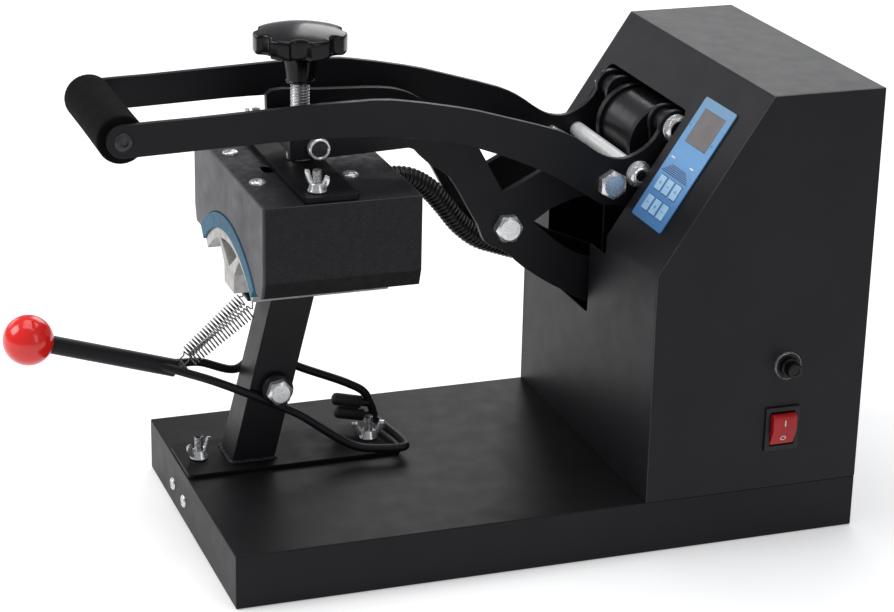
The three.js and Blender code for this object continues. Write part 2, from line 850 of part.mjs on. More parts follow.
function makeMouldPlate() {
  const half = mouldPlateWidth / 2;
  const plan = roundedBox(armOffset - half, armOffset + half,
    mouldPlateInset, studRearY + mouldPlateRear, mouldPlateCorner)
    .subtract(disc(baseStudRadius + fitGap, studX, studFrontY, coarse))
    .subtract(disc(baseStudRadius + fitGap, studX, studRearY, coarse));
  return alongZ(plan, baseHeight, mouldPlateTop);
}
piece(mould, 'mould_plate', makeMouldPlate(), paint, 0.55, 0.3);

const leverY = leverPivotInset;
const leverZ = mouldPlateTop + leverPivotRise;

// plate on the post's front that the springs hang from
const springPlateZ = mouldFoot - springPlateDrop;
const postFrontAtPlate = postFootInset + postLean * (postRise - springPlateDrop - springPlateThickness) / postRise;
const springPlateFront = postFrontAtPlate - springPlateReach;

function makePost() {
  const leaned = (inset, grow) => figure([
    [postFootInset + inset, mouldPlateTop - grow],
    [postFootInset + postDepth - inset, mouldPlateTop - grow],
    [postFootInset + postDepth + postLean - inset, mouldFoot + grow],
    [postFootInset + postLean + inset, mouldFoot + grow],
  ]);
  const halfX = postWidth / 2;
  const outer = alongX(leaned(0, 0), armOffset - halfX, armOffset + halfX);
  const inner = alongX(leaned(postWall, overrun), armOffset - halfX + postWall, armOffset + halfX - postWall);
  const bolt = rodX(leverBoltRadius + fitGap, armOffset - postWidth, armOffset + postWidth, leverY, leverZ);
  const anchor = block(armOffset - halfX, armOffset + halfX, springPlateFront, postFrontAtPlate + postWall / 2,
    springPlateZ - springPlateThickness, springPlateZ);
  return outer.subtract(inner).subtract(bolt).add(anchor);
}
piece(mould, 'post', makePost(), paint, 0.5, 0.3);

// casting: arched wall on a stem that forks, open at both ends
const mouldFrontY = mouldMidY - mouldLength / 2;
const mouldRearY = mouldMidY + mouldLength / 2;

function ringSector(outer, inner, halfAngle, steps) {
  const points = [];
  for (let i = 0; i <= steps; i++) {
    const angle = degrees(halfAngle) * (2 * i / steps - 1);
    points.push([outer * Math.sin(-angle), outer * Math.cos(angle)]);
  }
  for (let i = steps; i >= 0; i--) {
    const angle = degrees(halfAngle) * (2 * i / steps - 1);
    points.push([inner * Math.sin(-angle), inner * Math.cos(angle)]);
  }
  return figure(points).translate([armOffset, archCentreZ]);
}

function makeCasting() {
  const wall = ringSector(mouldArchRadius, mouldArchRadius - mouldWall, padAngle, fine);
  const within = disc(mouldArchRadius - mouldWall / 2, armOffset, archCentreZ, fine * 2);
  const top = archCentreZ + mouldArchRadius - mouldWall;
  const half = [
    [mouldStemHalf, mouldFoot], [mouldStemHalf, mouldFoot + mouldStemHeight],
    [mouldForkOuter, top - mouldForkOuter ** 2 / mouldArchRadius / 2], [mouldForkOuter, top + mouldWall],
    [mouldForkInner, top + mouldWall], [mouldForkInner, top - mouldForkInner ** 2 / mouldArchRadius / 2],
  ];
  const fork = figure([
    ...half.map(([x, z]) => [armOffset + x, z]), [armOffset, mouldFoot + mouldForkRise],
    ...half.reverse().map(([x, z]) => [armOffset - x, z]),
  ]);
  return alongY(wall.add(fork.intersect(within)), mouldFrontY, mouldRearY);
}
piece(mould, 'mould_casting', makeCasting(), 0xd9d7cf, 0.6, 0.35);

const padSection = ringSector(padRadius, mouldArchRadius, padAngle, fine);
piece(mould, 'mould_pad', alongY(padSection, mouldFrontY - padOverhang, mouldRearY), 0x2f8fb8, 0.7, 0);

// wing nut with two raised wings
const wingRootShare = 0.25;
const wingCrownShare = 0.62;
const wingTop = wingHeight + wingHubHeight;

function makeWingNut(x, y, seat, turn) {
  const hub = join(
    rodZ(wingHubRadius, x, y, seat, seat + wingHubHeight, medium),
    rodZ(wingHubRadius + wingThickness / 2, x, y, seat, seat + wingThickness / 2, medium));
  const wings = [-1, 1].map((side) => {
    const tip = side * wingSpan / 2;
    const root = tip * wingRootShare;
    const plan = figure([
      [root, 0], [tip - side * wingThickness, wingHeight / 2], [tip, wingHeight],
      [tip - side * wingThickness, wingTop], [tip * wingCrownShare, wingTop], [root, wingHubHeight],
    ]);
    return alongY(plan, -wingThickness / 2, wingThickness / 2).rotate([0, 0, turn]).translate([x, y, seat]);
  });
  const bore = rodZ(wingBore, x, y, seat - overrun, seat + wingTop + overrun, coarse);
  return join(hub, ...wings).subtract(bore);
}
piece(mould, 'wing_nut_front', makeWingNut(studX, studFrontY, mouldPlateTop + runGap, wingTurnFront), zinc, 0.35, 0.9);
piece(mould, 'wing_nut_rear', makeWingNut(studX, studRearY, mouldPlateTop + runGap, wingTurnRear), zinc, 0.35, 0.9);

// Brim lever

// the two rods' routes from the pivot, as shares: X of the spread, Y of the reach,
// Z of the ball's rise in front of the pivot and of the fall to the plate behind it
const rightRodShares = [
  [0.1881, -0.4675, 0.4271], [0.52, -0.3728, 0.33], [0.8495, -0.2781, 0.2292],
  [1.0004, -0.1479, 0.0208], [0.9895, -0.0296, -0.1975], [1.0213, 0.0237, -0.2972],
  [1.2093, 0.0828, -0.3949], [1.5319, 0.2604, -0.8316], [1.6936, 0.3373, -0.9564],
];
const leftRodShares = [
  [-0.1881, -0.4675, 0.4271], [-0.52, -0.3728, 0.33], [-0.8332, -0.2781, 0.2605],
  [-1.0004, -0.1183, 0.0627], [-1.0004, -0.0414, 0.2271], [-1.0004, 0.0355, 0.2436],
  [-1.0485, 0.142, 0.0106], [-1.1021, 0.3787, -0.3847], [-1.1021, 0.4497, -0.5509],
  [-1.1021, 0.4822, -0.7796],
];
// the cross bar that the springs hook on
const springBarShares = [0.52, -0.3728, 0.33];
// the rear leg that lies over the mould plate, joining both rods: X, Y
const legShares = [[1.8817, 0.4793], [1.8281, 0.5296], [1.3974, 0.5373], [-1.1021, 0.5]];
// each finger's root, and a point that it aims at
const fingerShares = [
  [[-1.1021, 0.4828, -0.7484], [-1.1021, 0.3254, -0.6152]],
  [[-1.1021, 0.4947, -0.9564], [-1.1021, 0.3195, -0.819]],
];
const leverLegZ = mouldPlateTop + leverRodRadius + leverLegGap;
const leverFall = leverZ - leverLegZ;
const leverPoint = ([x, y, z]) => [
  armOffset + x * leverSpread, leverY + y * leverReach, leverZ + z * (z < 0 ? leverFall : leverBallRise)];
const legPoint = ([x, y]) => [armOffset + x * leverSpread, leverY + y * leverReach, leverLegZ];
const legPoints = legShares.map(legPoint);
const rightRodPoints = [...rightRodShares.map(leverPoint), ...legPoints];
const leftRodPoints = [...leftRodShares.map(leverPoint), legPoints[legPoints.length - 1]];
const ballPlace = [armOffset, leverY - leverReach, leverZ + leverBallRise];
const tubeEndShare = 0.405;
const tubeEnd = [armOffset, leverY - leverReach * tubeEndShare, leverZ + leverBallRise * tubeEndShare - leverRodRadius];
const [, springHookY, springBarZ] = leverPoint(springBarShares);
const springBarHalf = springBarShares[0] * leverSpread;
const springHookZ = springBarZ + leverRodRadius;
const fingerLength = leverSleeveSetback + leverSleeveLength - leverSleeveCap;

// ends of a finger: its root, and its tip inside the sleeve
function fingerEnds(shares) {
  const [root, aim] = shares.map((p) => new THREE.Vector3(...leverPoint(p)));
  const along = aim.clone().sub(root).normalize();
  return [root, root.clone().addScaledVector(along, fingerLength), along];
}

function makeLeverFrame() {
  const tubeStart = new THREE.Vector3(...ballPlace);
  const tubeStop = new THREE.Vector3(...tubeEnd);
  const along = tubeStop.clone().sub(tubeStart).normalize();
  const start = tubeStart.clone().addScaledVector(along, leverBallRadius - leverBallSeat);
  const tube = sweep([start.toArray(), tubeStop.toArray()], leverTubeRadius, coarse);
  const rods = [rightRodPoints, leftRodPoints].map(
    (points) => sweep(smoothLine(points, points.length * 2 - 2), leverRodRadius, rodSides));
  const fingers = fingerShares.map((shares) => {
    const [root, tip] = fingerEnds(shares);
    return sweep([root.toArray(), tip.toArray()], leverRodRadius, rodSides);
  });
  const ringPlan = disc(leverRingRadius, leverY, leverZ).subtract(disc(leverBoltRadius + runGap, leverY, leverZ));
  const rings = [-1, 1].map((side) => {
    const x0 = armOffset + (side > 0 ? postWidth / 2 + runGap : -postWidth / 2 - runGap - leverRingWidth);
    return alongX(ringPlan, x0, x0 + leverRingWidth);
  });
  const bar = rodX(leverRodRadius, armOffset - springBarHalf, armOffset + springBarHalf,
    springHookY, springBarZ, coarse);
  const clear = rodX(leverBoltRadius + runGap, armOffset - postWidth, armOffset + postWidth, leverY, leverZ);
  return join(tube, ...rods, ...fingers, bar).subtract(clear).add(join(...rings));
}
piece(lever, 'lever_frame', makeLeverFrame(), 0x2a2b30, 0.4, 0.6);

function makeBall() {
  const ball = Manifold.sphere(leverBallRadius, medium).translate(ballPlace);
  const from = new THREE.Vector3(...ballPlace);
  const to = new THREE.Vector3(...tubeEnd);
  const along = to.clone().sub(from).normalize();
  const start = from.clone().addScaledVector(along, leverBallRadius - leverBallSeat - runGap);
  const hole = sweep([start.toArray(), to.toArray()], leverTubeRadius + fitGap, coarse);
  return ball.subtract(hole);
}
piece(lever, 'lever_ball', makeBall(), 0xe0131c, 0.15, 0);

function makeSleeve(shares) {
  const [root, tip, along] = fingerEnds(shares);
  const at = (place, reach) => place.clone().addScaledVector(along, reach).toArray();
  const start = leverSleeveSetback;
  const outer = sweep([at(root, start), at(root, start + leverSleeveLength)], leverSleeveRadius, coarse);
  return outer.subtract(sweep([at(root, 0), at(tip, runGap)], leverRodRadius + fitGap, rodSides));
}
piece(lever, 'lever_sleeve_upper', makeSleeve(fingerShares[0]), 0x121214, 0.8, 0);
piece(lever, 'lever_sleeve_lower', makeSleeve(fingerShares[1]), 0x121214, 0.8, 0);

function makeLeverBolt() {
  const ringEnd = postWidth / 2 + runGap + leverRingWidth + runGap;
  const headEnd = ringEnd + leverBoltHeadHeight;
  const hex = hexagon(leverBoltHeadAcross, leverY, leverZ);
  return join(
    rodX(leverBoltRadius, armOffset - headEnd, armOffset + headEnd, leverY, leverZ),
    alongX(hex, armOffset + ringEnd, armOffset + headEnd),
    alongX(hex, armOffset - headEnd, armOffset - ringEnd));
}
piece(mould, 'lever_bolt', makeLeverBolt(), zinc, 0.35, 0.9);

// extension springs from the lever's bar to the plate on the post
const springTopY = springPlateFront + springTailInset;
const springTopZ = springPlateZ - springPlateThickness - runGap;
function springPath(side) {
  const foot = new THREE.Vector3(armOffset + side * springFootSpread / 2, springHookY, springHookZ + springWire);
  const crown = new THREE.Vector3(armOffset + side * springTopSpread / 2, springTopY, springTopZ - springTail);
  const along = crown.clone().sub(foot).normalize();
  const across = new THREE.Vector3(1, 0, 0).addScaledVector(along, -along.x).normalize();
  const third = along.clone().cross(across);
  const length = crown.distanceTo(foot) - springLead - springWire;
  const steps = springCurls * 8;
  const path = [foot.toArray()];
  for (let i = 0; i <= steps; i++) {
    const angle = i * 2 * Math.PI / 8;
    const p = foot.clone().addScaledVector(along, springLead + length * i / steps);
    p.addScaledVector(across, springRadius * Math.cos(angle));
    p.addScaledVector(third, springRadius * Math.sin(angle));
    path.push(p.toArray());
  }
  path.push(crown.toArray());
  path.push([crown.x, crown.y, springTopZ - springWire]);
  path.push([crown.x, crown.y, springTopZ]);
  return path;
}

// least distance between neighbouring curls, less the wire
function leastGap(path, wire) {
  let least = Infinity;
  for (let i = 1; i < path.length - 3; i++) {
    for (let k = i + 5; k < Math.min(i + 14, path.length - 3); k++) {
      const apart = Math.hypot(path[i][0] - path[k][0], path[i][1] - path[k][1], path[i][2] - path[k][2]);
      least = Math.min(least, apart - wire);
    }
  }
  return least;
}

for (const [side, name] of [[1, 'brim_spring_right'], [-1, 'brim_spring_left']]) {
  const path = springPath(side);
  console.log(name, 'least gap between curls', leastGap(path, springWire).toFixed(2), 'mm');
  const data = sweepData(path, path.map(() => springWire / 2), 5);
  piece(lever, name, bufferFrom(data.places, data.faces), 0xb9bcc0, 0.3, 0.95);
}

// Arm

// outline of an arm plate, as shares of the arm's reach from its pivot
const armTopShares = [
  [-1.063, 0.157], [-1.045, 0.169], [-0.94, 0.163], [-0.84, 0.159], [-0.74, 0.153], [-0.69, 0.143],
  [-0.645, 0.123], [-0.605, 0.09], [-0.541, 0.031],
];
const armNotchShares = [[-0.468, -0.1]];
const armBarShares = [
  [-0.361, -0.046], [-0.3, -0.036], [-0.245, -0.038], [-0.18, -0.048], [-0.1, -0.046],
];
const armNeckShares = [
  [-0.05, -0.1], [-0.1, -0.143], [-0.165, -0.139], [-0.242, -0.128], [-0.334, -0.157],
];
const armCrotchShares = [[-0.38, -0.188], [-0.338, -0.226], [-0.292, -0.265], [-0.246, -0.295]];
const armTailShares = [[-0.17, -0.325], [-0.1, -0.36], [-0.058, -0.405]];
const armTailEndShare = 0.08;
const armUnderShares = [
  [-0.226, -0.432], [-0.265, -0.407], [-0.342, -0.361], [-0.411, -0.311], [-0.461, -0.265],
  [-0.507, -0.242], [-0.522, -0.227], [-0.537, -0.188], [-0.568, -0.134], [-0.626, -0.038],
  [-0.676, -0.004], [-0.706, 0.023], [-0.729, 0.046], [-0.768, 0.046], [-0.86, 0.043], [-0.96, 0.039],
  [-1.06, 0.0385],
];
const armPoint = ([y, z]) => [pivotY + y * armReach, pivotZ + z * armReach];
const tiePlaceShare = [-0.457, -0.196];
const tiePlace = armPoint(tiePlaceShare);
const handlePivot = [handleY, handleZ];
const armPivot = [pivotY, pivotZ];

// cross rod and bolts, as shares of the handle's reach from its pivot
const rodPlaceShare = [-0.0682, -0.0798];
const boltPlaceShare = [-0.1212, -0.0928];
const handlePoint = ([y, z]) => [handleY + y * handleReach, handleZ + z * handleReach];
const rodPlace = handlePoint(rodPlaceShare);
const boltPlace = handlePoint(boltPlaceShare);

// way of the cross rod seen from the arm: the arm's top edge is its cam
function camTrack() {
  const steps = 8;
  let track = null;
  let before = null;
  for (let i = 0; i <= steps; i++) {
    const rod = lift(rodPlace, handlePivot, handleLift * i / steps);
    const seen = lift(rod, armPivot, -armRise * i / steps);
    const round = disc(rodRadius + runGap, seen[0], seen[1], medium);
    const step = before === null ? round : CrossSection.hull([before, round]);
    track = track === null ? step : track.add(step);
    before = round;
  }
  return track;
}

const blockZ0 = bridgeTop + runGap + screwCollarHeight + screwPitch * screwTurns + runGap * 2;
const blockZ1 = blockZ0 + blockHeight;
const blockPinY = pressY + blockPinOffset;
const blockPinZ = blockZ0 + blockPinRadius + runGap;

function makeArmOutline() {
  const tail = [];
  const from = Math.asin(armTailEndShare * 2);
  const to = Math.asin(-armUnderShares[0][0] * armReach / armTailRadius);
  for (let i = 0; i <= 5; i++) {
    const angle = from + (to - from) * i / 5;
    tail.push([pivotY - armTailRadius * Math.sin(angle), pivotZ - armTailRadius * Math.cos(angle)]);
  }
  const steps = (shares) => shares.length * 2;
  const curve = (shares) => flat(smoothLine(shares.map(armPoint), steps(shares)));
  const points = [
    ...curve(armTopShares), ...armNotchShares.map(armPoint), ...curve(armBarShares), armPivot,
    ...curve(armNeckShares), ...curve(armCrotchShares), ...curve(armTailShares),
    ...tail, ...curve(armUnderShares.slice(1)),
  ];
  return figure(points).simplify(outlineTolerance)
    .add(disc(armDiscRadius, pivotY, pivotZ, fine))
    .subtract(camTrack()).simplify(outlineTolerance)
    .subtract(disc(armShaftRadius + runGap, pivotY, pivotZ))
    .subtract(disc(tieRadius + fitGap, tiePlace[0], tiePlace[1]))
    .subtract(disc(blockPinRadius + fitGap, blockPinY, blockPinZ));
}
const armOutline = makeArmOutline();
piece(arm, 'arm_plate_right', alongX(armOutline, armOffset + halfArmSpan, armOffset + armOuter), 0x222226, 0.5, 0.3);
piece(arm, 'arm_plate_left', alongX(armOutline, armOffset - armOuter, armOffset - halfArmSpan), 0x222226, 0.5, 0.3);

const hubPlan = disc(armHubRadius, pivotY, pivotZ, fine)
  .subtract(disc(armHubRadius - armHubWall, pivotY, pivotZ, medium));
piece(arm, 'arm_hub', alongX(hubPlan, armOffset - halfArmSpan, armOffset + halfArmSpan), 0x1b1b1e, 0.35, 0.3);

function makeTieBolt() {
  const hex = hexagon(tieHeadAcross, ...tiePlace);
  const end = armOuter + tieHeadHeight;
  return join(
    rodX(tieRadius, armOffset - end, armOffset + end, ...tiePlace),
    alongX(hex, armOffset + armOuter, armOffset + end),
    alongX(hex, armOffset - end, armOffset - armOuter));
}
piece(arm, 'arm_tie_bolt', makeTieBolt(), zinc, 0.35, 0.9);

function makeBlock() {
  return block(armOffset - halfArmSpan, armOffset + halfArmSpan,
    pressY - blockDepth / 2, pressY + blockDepth / 2, blockZ0, blockZ1)
    .subtract(rodZ(screwRadius + runGap, armOffset, pressY, blockZ0 - overrun, blockZ1 + overrun));
}
piece(arm, 'clamp_block', makeBlock(), 0x1d1d20, 0.5, 0.4);

function makeBlockPin(side) {
  const span = (plan, from, to) => {
    const ends = [armOffset + side * from, armOffset + side * to];
    return alongX(plan, Math.min(...ends), Math.max(...ends));
  };
  const headEnd = armOuter + blockPinHeadHeight;
  return join(
    span(disc(blockPinRadius, blockPinY, blockPinZ), halfArmSpan, headEnd),
    span(disc(blockPinHeadRadius, blockPinY, blockPinZ), armOuter, headEnd))
    .subtract(span(disc(blockPinRadius - fitGap, blockPinY, blockPinZ),
      headEnd - blockPinHeadHeight / 3, headEnd + overrun));
}
piece(arm, 'clamp_pin_right', makeBlockPin(1), zinc, 0.3, 0.95);
piece(arm, 'clamp_pin_left', makeBlockPin(-1), zinc, 0.3, 0.95);

// Pressure screw and knob

const collarZ0 = bridgeTop + runGap;
const collarZ1 = collarZ0 + screwCollarHeight;
const flangeZ1 = headTop - runGap;
const knobZ0 = bridgeTop + knobSeat - bridgeThickness;
const knobRimZ = knobZ0 + knobHubHeight;
const screwTop = knobRimZ + knobRimHeight / 2;

function makeScrew() {
  return join(
    rodZ(screwRadius, armOffset, pressY, collarZ1 - overrun, screwTop, medium),
    rodZ(screwCollarRadius, armOffset, pressY, collarZ0, collarZ1, fine),
    rodZ(screwNeckRadius, armOffset, pressY, flangeZ1 - screwFlangeHeight, collarZ1, medium),
    rodZ(screwCollarRadius, armOffset, pressY, flangeZ1 - screwFlangeHeight, flangeZ1, medium));
}
piece(head, 'pressure_screw', makeScrew(), 0xb4b6b9, 0.35, 0.9);

function makeKnob() {
  const lobed = [];
  const sides = knobLobes * 5;
  for (let i = 0; i < sides; i++) {
    const angle = i * 2 * Math.PI / sides;
    const wave = (1 + Math.cos(knobLobes * angle)) / 2;
    const radius = knobRadius - knobLobeDepth * (1 - Math.sqrt(wave));
    lobed.push([radius * Math.cos(angle), radius * Math.sin(angle)]);
  }
  const plan = figure(lobed);
  const rim = alongZ(plan, knobRimZ, knobRimZ + knobRimHeight);
  const crownShare = 0.78;
  const crown = plan.scale([1, 1]).extrude(knobCrown, 1, 0, [crownShare, crownShare])
    .translate([0, 0, knobRimZ + knobRimHeight]);
  const hub = Manifold.cylinder(knobHubHeight, knobHubFootRadius, knobHubRadius, medium).translate([0, 0, knobZ0]);
  const body = join(rim, crown, hub).translate([armOffset, pressY, 0]);
  return body.subtract(rodZ(screwRadius + fitGap, armOffset, pressY, knobZ0 - overrun, screwTop + fitGap));
}
piece(head, 'knob', makeKnob(), 0x0d0d0f, 0.12, 0);

// Head: bridge, cover, front, platen

const headHalf = headWidth / 2;
const headStudX = [-headStudSpread / 2, headStudSpread / 2];

function makeBridge() {
  const half = bridgeLength / 2;
  let plan = roundedBox(armOffset - half, armOffset + half,
    pressY - bridgeAhead - bridgeWidth / 2, pressY - bridgeAhead + bridgeWidth / 2, bridgeThickness / 2)
    .subtract(disc(screwNeckRadius + runGap, armOffset, pressY));
  for (const x of headStudX) plan = plan.subtract(disc(headStudRadius + fitGap, armOffset + x, headStudY, coarse));
  return alongZ(plan, headTop, bridgeTop);
}
piece(head, 'bridge', makeBridge(), 0x232327, 0.5, 0.4);

const coverPoints = [
  [armOffset - headHalf + headChamferWidth, headBottom], [armOffset - headHalf, headBottom + headChamferHeight],
  [armOffset - headHalf, headTop], [armOffset + headHalf, headTop],
  [armOffset + headHalf, headBottom + headChamferHeight], [armOffset + headHalf - headChamferWidth, headBottom],
];
const archCut = disc(platenInner - runGap, armOffset, archCentreZ, fine * 2);
const conduitX = armOffset + conduitOffset;
const conduitExit = headTop - conduitDrop;

function makeCover() {
  const sheet = alongY(sheetOutline(coverPoints, headSheet), headFrontY + headSheet, headRearY);
  const rearPlan = figure(coverPoints).subtract(archCut)
    .subtract(disc(conduitRadius + conduitFit, conduitX, conduitExit));
  const rear = alongY(rearPlan, headRearY - headSheet, headRearY);
  const top = [rodZ(screwCollarRadius + overrun, armOffset, pressY, headTop - headSheet - overrun, headTop + overrun)];
  for (const x of headStudX) {
    top.push(rodZ(headStudRadius + fitGap, armOffset + x, headStudY,
      headTop - headSheet - overrun, headTop + overrun, coarse));
  }
  const holeX = armOffset + coverHoleSide;
  const holeY = pressY - coverHoleAhead;
  const hole = roundedBox(holeX - coverHoleLength / 2, holeX + coverHoleLength / 2,
    holeY - coverHoleWidth / 2, holeY + coverHoleWidth / 2, coverHoleWidth / 2 - runGap);
  top.push(alongZ(hole, headTop - headSheet - overrun, headTop + overrun));
  return join(sheet, rear).subtract(join(...top));
}
piece(head, 'head_cover', makeCover(), 0x29292e, 0.65, 0.25);

const frontPlan = figure(coverPoints).subtract(archCut);
piece(head, 'head_front', alongY(frontPlan, headFrontY, headFrontY + headSheet), 0x6a6b70, 0.55, 0.3);

function makePlaten() {
  const plan = ringSector(platenOuter, platenInner, platenAngle, fine);
  const body = alongY(plan, headFrontY + platenInset, headRearY - platenInset);
  const studs = headStudX.map((x) => {
    const root = archCentreZ + Math.sqrt(platenOuter ** 2 - x ** 2) - platenThickness / 2;
    return rodZ(headStudRadius, armOffset + x, headStudY, root, bridgeTop + headStudRise, coarse);
  });
  return join(body, ...studs);
}
piece(head, 'heat_platen', makePlaten(), 0xb9b4a8, 0.5, 0.6);

headStudX.forEach((x, i) => {
  const name = i === 0 ? 'head_wing_left' : 'head_wing_right';
  piece(head, name, makeWingNut(armOffset + x, headStudY, bridgeTop + runGap, wingTurnHead), zinc, 0.35, 0.9);
});

// Handle

// outline of a handle plate, as shares of the handle's reach from its pivot
const handleTopShares = [
  [-1, 0.0812], [-0.955, 0.083], [-0.875, 0.0845], [-0.775, 0.0885], [-0.63, 0.0925], [-0.547, 0.092],
  [-0.495, 0.0845], [-0.457, 0.0775], [-0.38, 0.0605], [-0.316, 0.0412], [-0.2225, 0.0116],
  [-0.1866, -0.0065], [-0.1506, -0.0322], [-0.13, -0.0438], [-0.1094, -0.0489], [-0.0914, -0.0489],
  [-0.0605, -0.036], [-0.0399, -0.018], [-0.0296, -0.0013],
];
const handleRearShares = [
  [0.0296, -0.015], [0.0142, -0.0618], [-0.0064, -0.1004], [-0.0373, -0.1262], [-0.0837, -0.139],
];
const handleUnderShares = [
  [-0.1377, -0.1313], [-0.1995, -0.0901], [-0.2535, -0.0592], [-0.328, -0.0257], [-0.372, -0.009],
  [-0.4054, 0.0026], [-0.4466, 0.0111], [-0.5496, 0.0257], [-0.632, 0.0309], [-0.727, 0.0322],
  [-0.82, 0.0296], [-0.95, 0.0262], [-1, 0.0248],
];

function makeHandleOutline() {
  const curve = (shares) => flat(smoothLine(shares.map(handlePoint), shares.length * 2));
  const points = [
    ...curve(handleTopShares), ...handleRearShares.map(handlePoint), ...curve(handleUnderShares),
  ];
  return figure(points).simplify(outlineTolerance)
    .add(disc(handleEarRadius, handleY, handleZ, fine))
    .add(disc(handleEndRadius, gripY, gripZ, fine))
    .subtract(disc(stubRadius + runGap, handleY, handleZ))
    .subtract(disc(rodRadius + fitGap, ...rodPlace))
    .subtract(disc(boltRadius + fitGap, ...boltPlace))
    .subtract(disc(gripHeadRadius - gripHeadHeight + fitGap, gripY, gripZ, coarse));
}
const handleOutline = makeHandleOutline();
piece(handle, 'handle_plate_right',
  alongX(handleOutline, armOffset + halfHandleSpan, armOffset + handleOuter), 0x1f1f24, 0.5, 0.3);
piece(handle, 'handle_plate_left',
  alongX(handleOutline, armOffset - handleOuter, armOffset - halfHandleSpan), 0x1f1f24, 0.5, 0.3);

function makeCrossRod() {
  const washerEnd = handleOuter + rodWasherHeight;
  const nutEnd = washerEnd + rodNutHeight;
  const hex = hexagon(rodNutAcross, ...rodPlace);
  const ends = [-1, 1].map((side) => {
    const washer = [armOffset + side * handleOuter, armOffset + side * washerEnd];
    const nut = [armOffset + side * washerEnd, armOffset + side * nutEnd];
    return join(
      rodX(rodWasherRadius, Math.min(...washer), Math.max(...washer), ...rodPlace, fine),
      alongX(hex, Math.min(...nut), Math.max(...nut)));
  });
  return join(rodX(rodRadius, armOffset - washerEnd, armOffset + washerEnd, ...rodPlace), ...ends);
}
piece(handle, 'cross_rod', makeCrossRod(), zinc, 0.3, 0.95);

function makeBolt(side) {
  const hex = hexagon(boltHeadAcross, ...boltPlace, boltHeadTurn);
  const span = (plan, from, to) => {
    const ends = [armOffset + side * from, armOffset + side * to];
    return alongX(plan, Math.min(...ends), Math.max(...ends));
  };
  return join(
    span(disc(boltRadius, ...boltPlace), halfHandleSpan - boltNutHeight, handleOuter + boltHeadHeight / 2),
    span(hex, handleOuter, handleOuter + boltHeadHeight),
    span(hex, halfHandleSpan - boltNutHeight, halfHandleSpan));
}
piece(handle, 'handle_bolt_right', makeBolt(1), zinc, 0.35, 0.9);
piece(handle, 'handle_bolt_left', makeBolt(-1), zinc, 0.35, 0.9);

// grip rod with a screw head at each end, under a foam sleeve
function makeGripRod() {
  const neck = gripHeadRadius - gripHeadHeight;
  const end = handleOuter + gripHeadHeight;
  return join(
    rodX(neck, armOffset - end, armOffset + end, gripY, gripZ, coarse),
    rodX(gripRodRadius, armOffset - halfHandleSpan, armOffset + halfHandleSpan, gripY, gripZ, coarse),
    rodX(gripHeadRadius, armOffset + handleOuter, armOffset + end, gripY, gripZ),
    rodX(gripHeadRadius, armOffset - end, armOffset - handleOuter, gripY, gripZ));
}
piece(handle, 'grip_rod', makeGripRod(), 0x3a3a3e, 0.4, 0.7);

const foamEnd = halfHandleSpan - runGap;
const foamPlan = disc(foamRadius, gripY, gripZ, fine).subtract(disc(gripRodRadius + fitGap, gripY, gripZ, coarse));
piece(handle, 'grip_foam', alongX(foamPlan, armOffset - foamEnd, armOffset + foamEnd), 0x1a1a1c, 0.95, 0);

// Conduit

// route in (Y, Z), as shares of the arm's reach from its pivot
const conduitShares = [
  [-0.789, -0.077], [-0.75, -0.077], [-0.69, -0.083], [-0.63, -0.118], [-0.585, -0.168], [-0.54, -0.225],
  [-0.485, -0.27], [-0.42, -0.296], [-0.34, -0.325], [-0.25, -0.37], [-0.17, -0.44], [-0.1, -0.53],
  [-0.045, -0.63], [-0.018, -0.72], [-0.018, -0.81],
];

function makeConduit() {
  const start = [conduitX, headRearY - headSheet - overrun, conduitExit];
  const route = conduitShares.map(([y, z]) => [conduitX, pivotY + y * armReach, pivotZ + z * armReach]);
  route[0][1] = headRearY + conduitRadius / 2;
  route[0][2] = conduitExit;
  route[1][2] = conduitExit;
  route[route.length - 1][2] = frameFootTop + runGap * 2;
  const rings = conduitRibs * 2;
  const path = smoothLine([start, ...route], rings);
  const radii = path.map((p, i) => (i % 2 === 0 ? conduitRadius : conduitRadius - conduitGroove));
  const sides = 8;
  const frames = pathFrames(path);
  const places = [];
  const faces = [];
  frames.forEach((frame, i) => places.push(...ringPoints(frame, radii[i], sides)));
  for (let i = 0; i + 1 < frames.length; i++) {
    for (let k = 0; k < sides; k++) {
      const a = i * sides + k;
      const b = i * sides + (k + 1) % sides;
      faces.push(a, b, b + sides, a, b + sides, a + sides);
    }
  }
  // bore: one ring every five ribs, and one at each end
  const boreAt = [];
  for (let i = 0; i < frames.length - 1; i += 10) boreAt.push(i);
  boreAt.push(frames.length - 1);
  const first = frames.length * sides;
  boreAt.forEach((i) => places.push(...ringPoints(frames[i], conduitBore, sides)));
  for (let j = 0; j + 1 < boreAt.length; j++) {
    for (let k = 0; k < sides; k++) {
      const a = first + j * sides + k;
      const b = first + j * sides + (k + 1) % sides;
      faces.push(a, b + sides, b, a, a + sides, b + sides);
    }
  }
  const lastOuter = (frames.length - 1) * sides;
  const lastInner = first + (boreAt.length - 1) * sides;
  for (let k = 0; k < sides; k++) {
    const n = (k + 1) % sides;
    faces.push(k, first + k, first + n, k, first + n, n);
    faces.push(lastOuter + k, lastOuter + n, lastInner + n, lastOuter + k, lastInner + n, lastInner + k);
  }
  return bufferFrom(places, faces);
}
piece(base, 'conduit', makeConduit(), 0x151517, 0.6, 0);

export default press;
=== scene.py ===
"""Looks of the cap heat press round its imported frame: finishes, smooth fasteners, springs,
conduit, welds and prints. Sizes are in millimetres unless a line says metres."""

import math

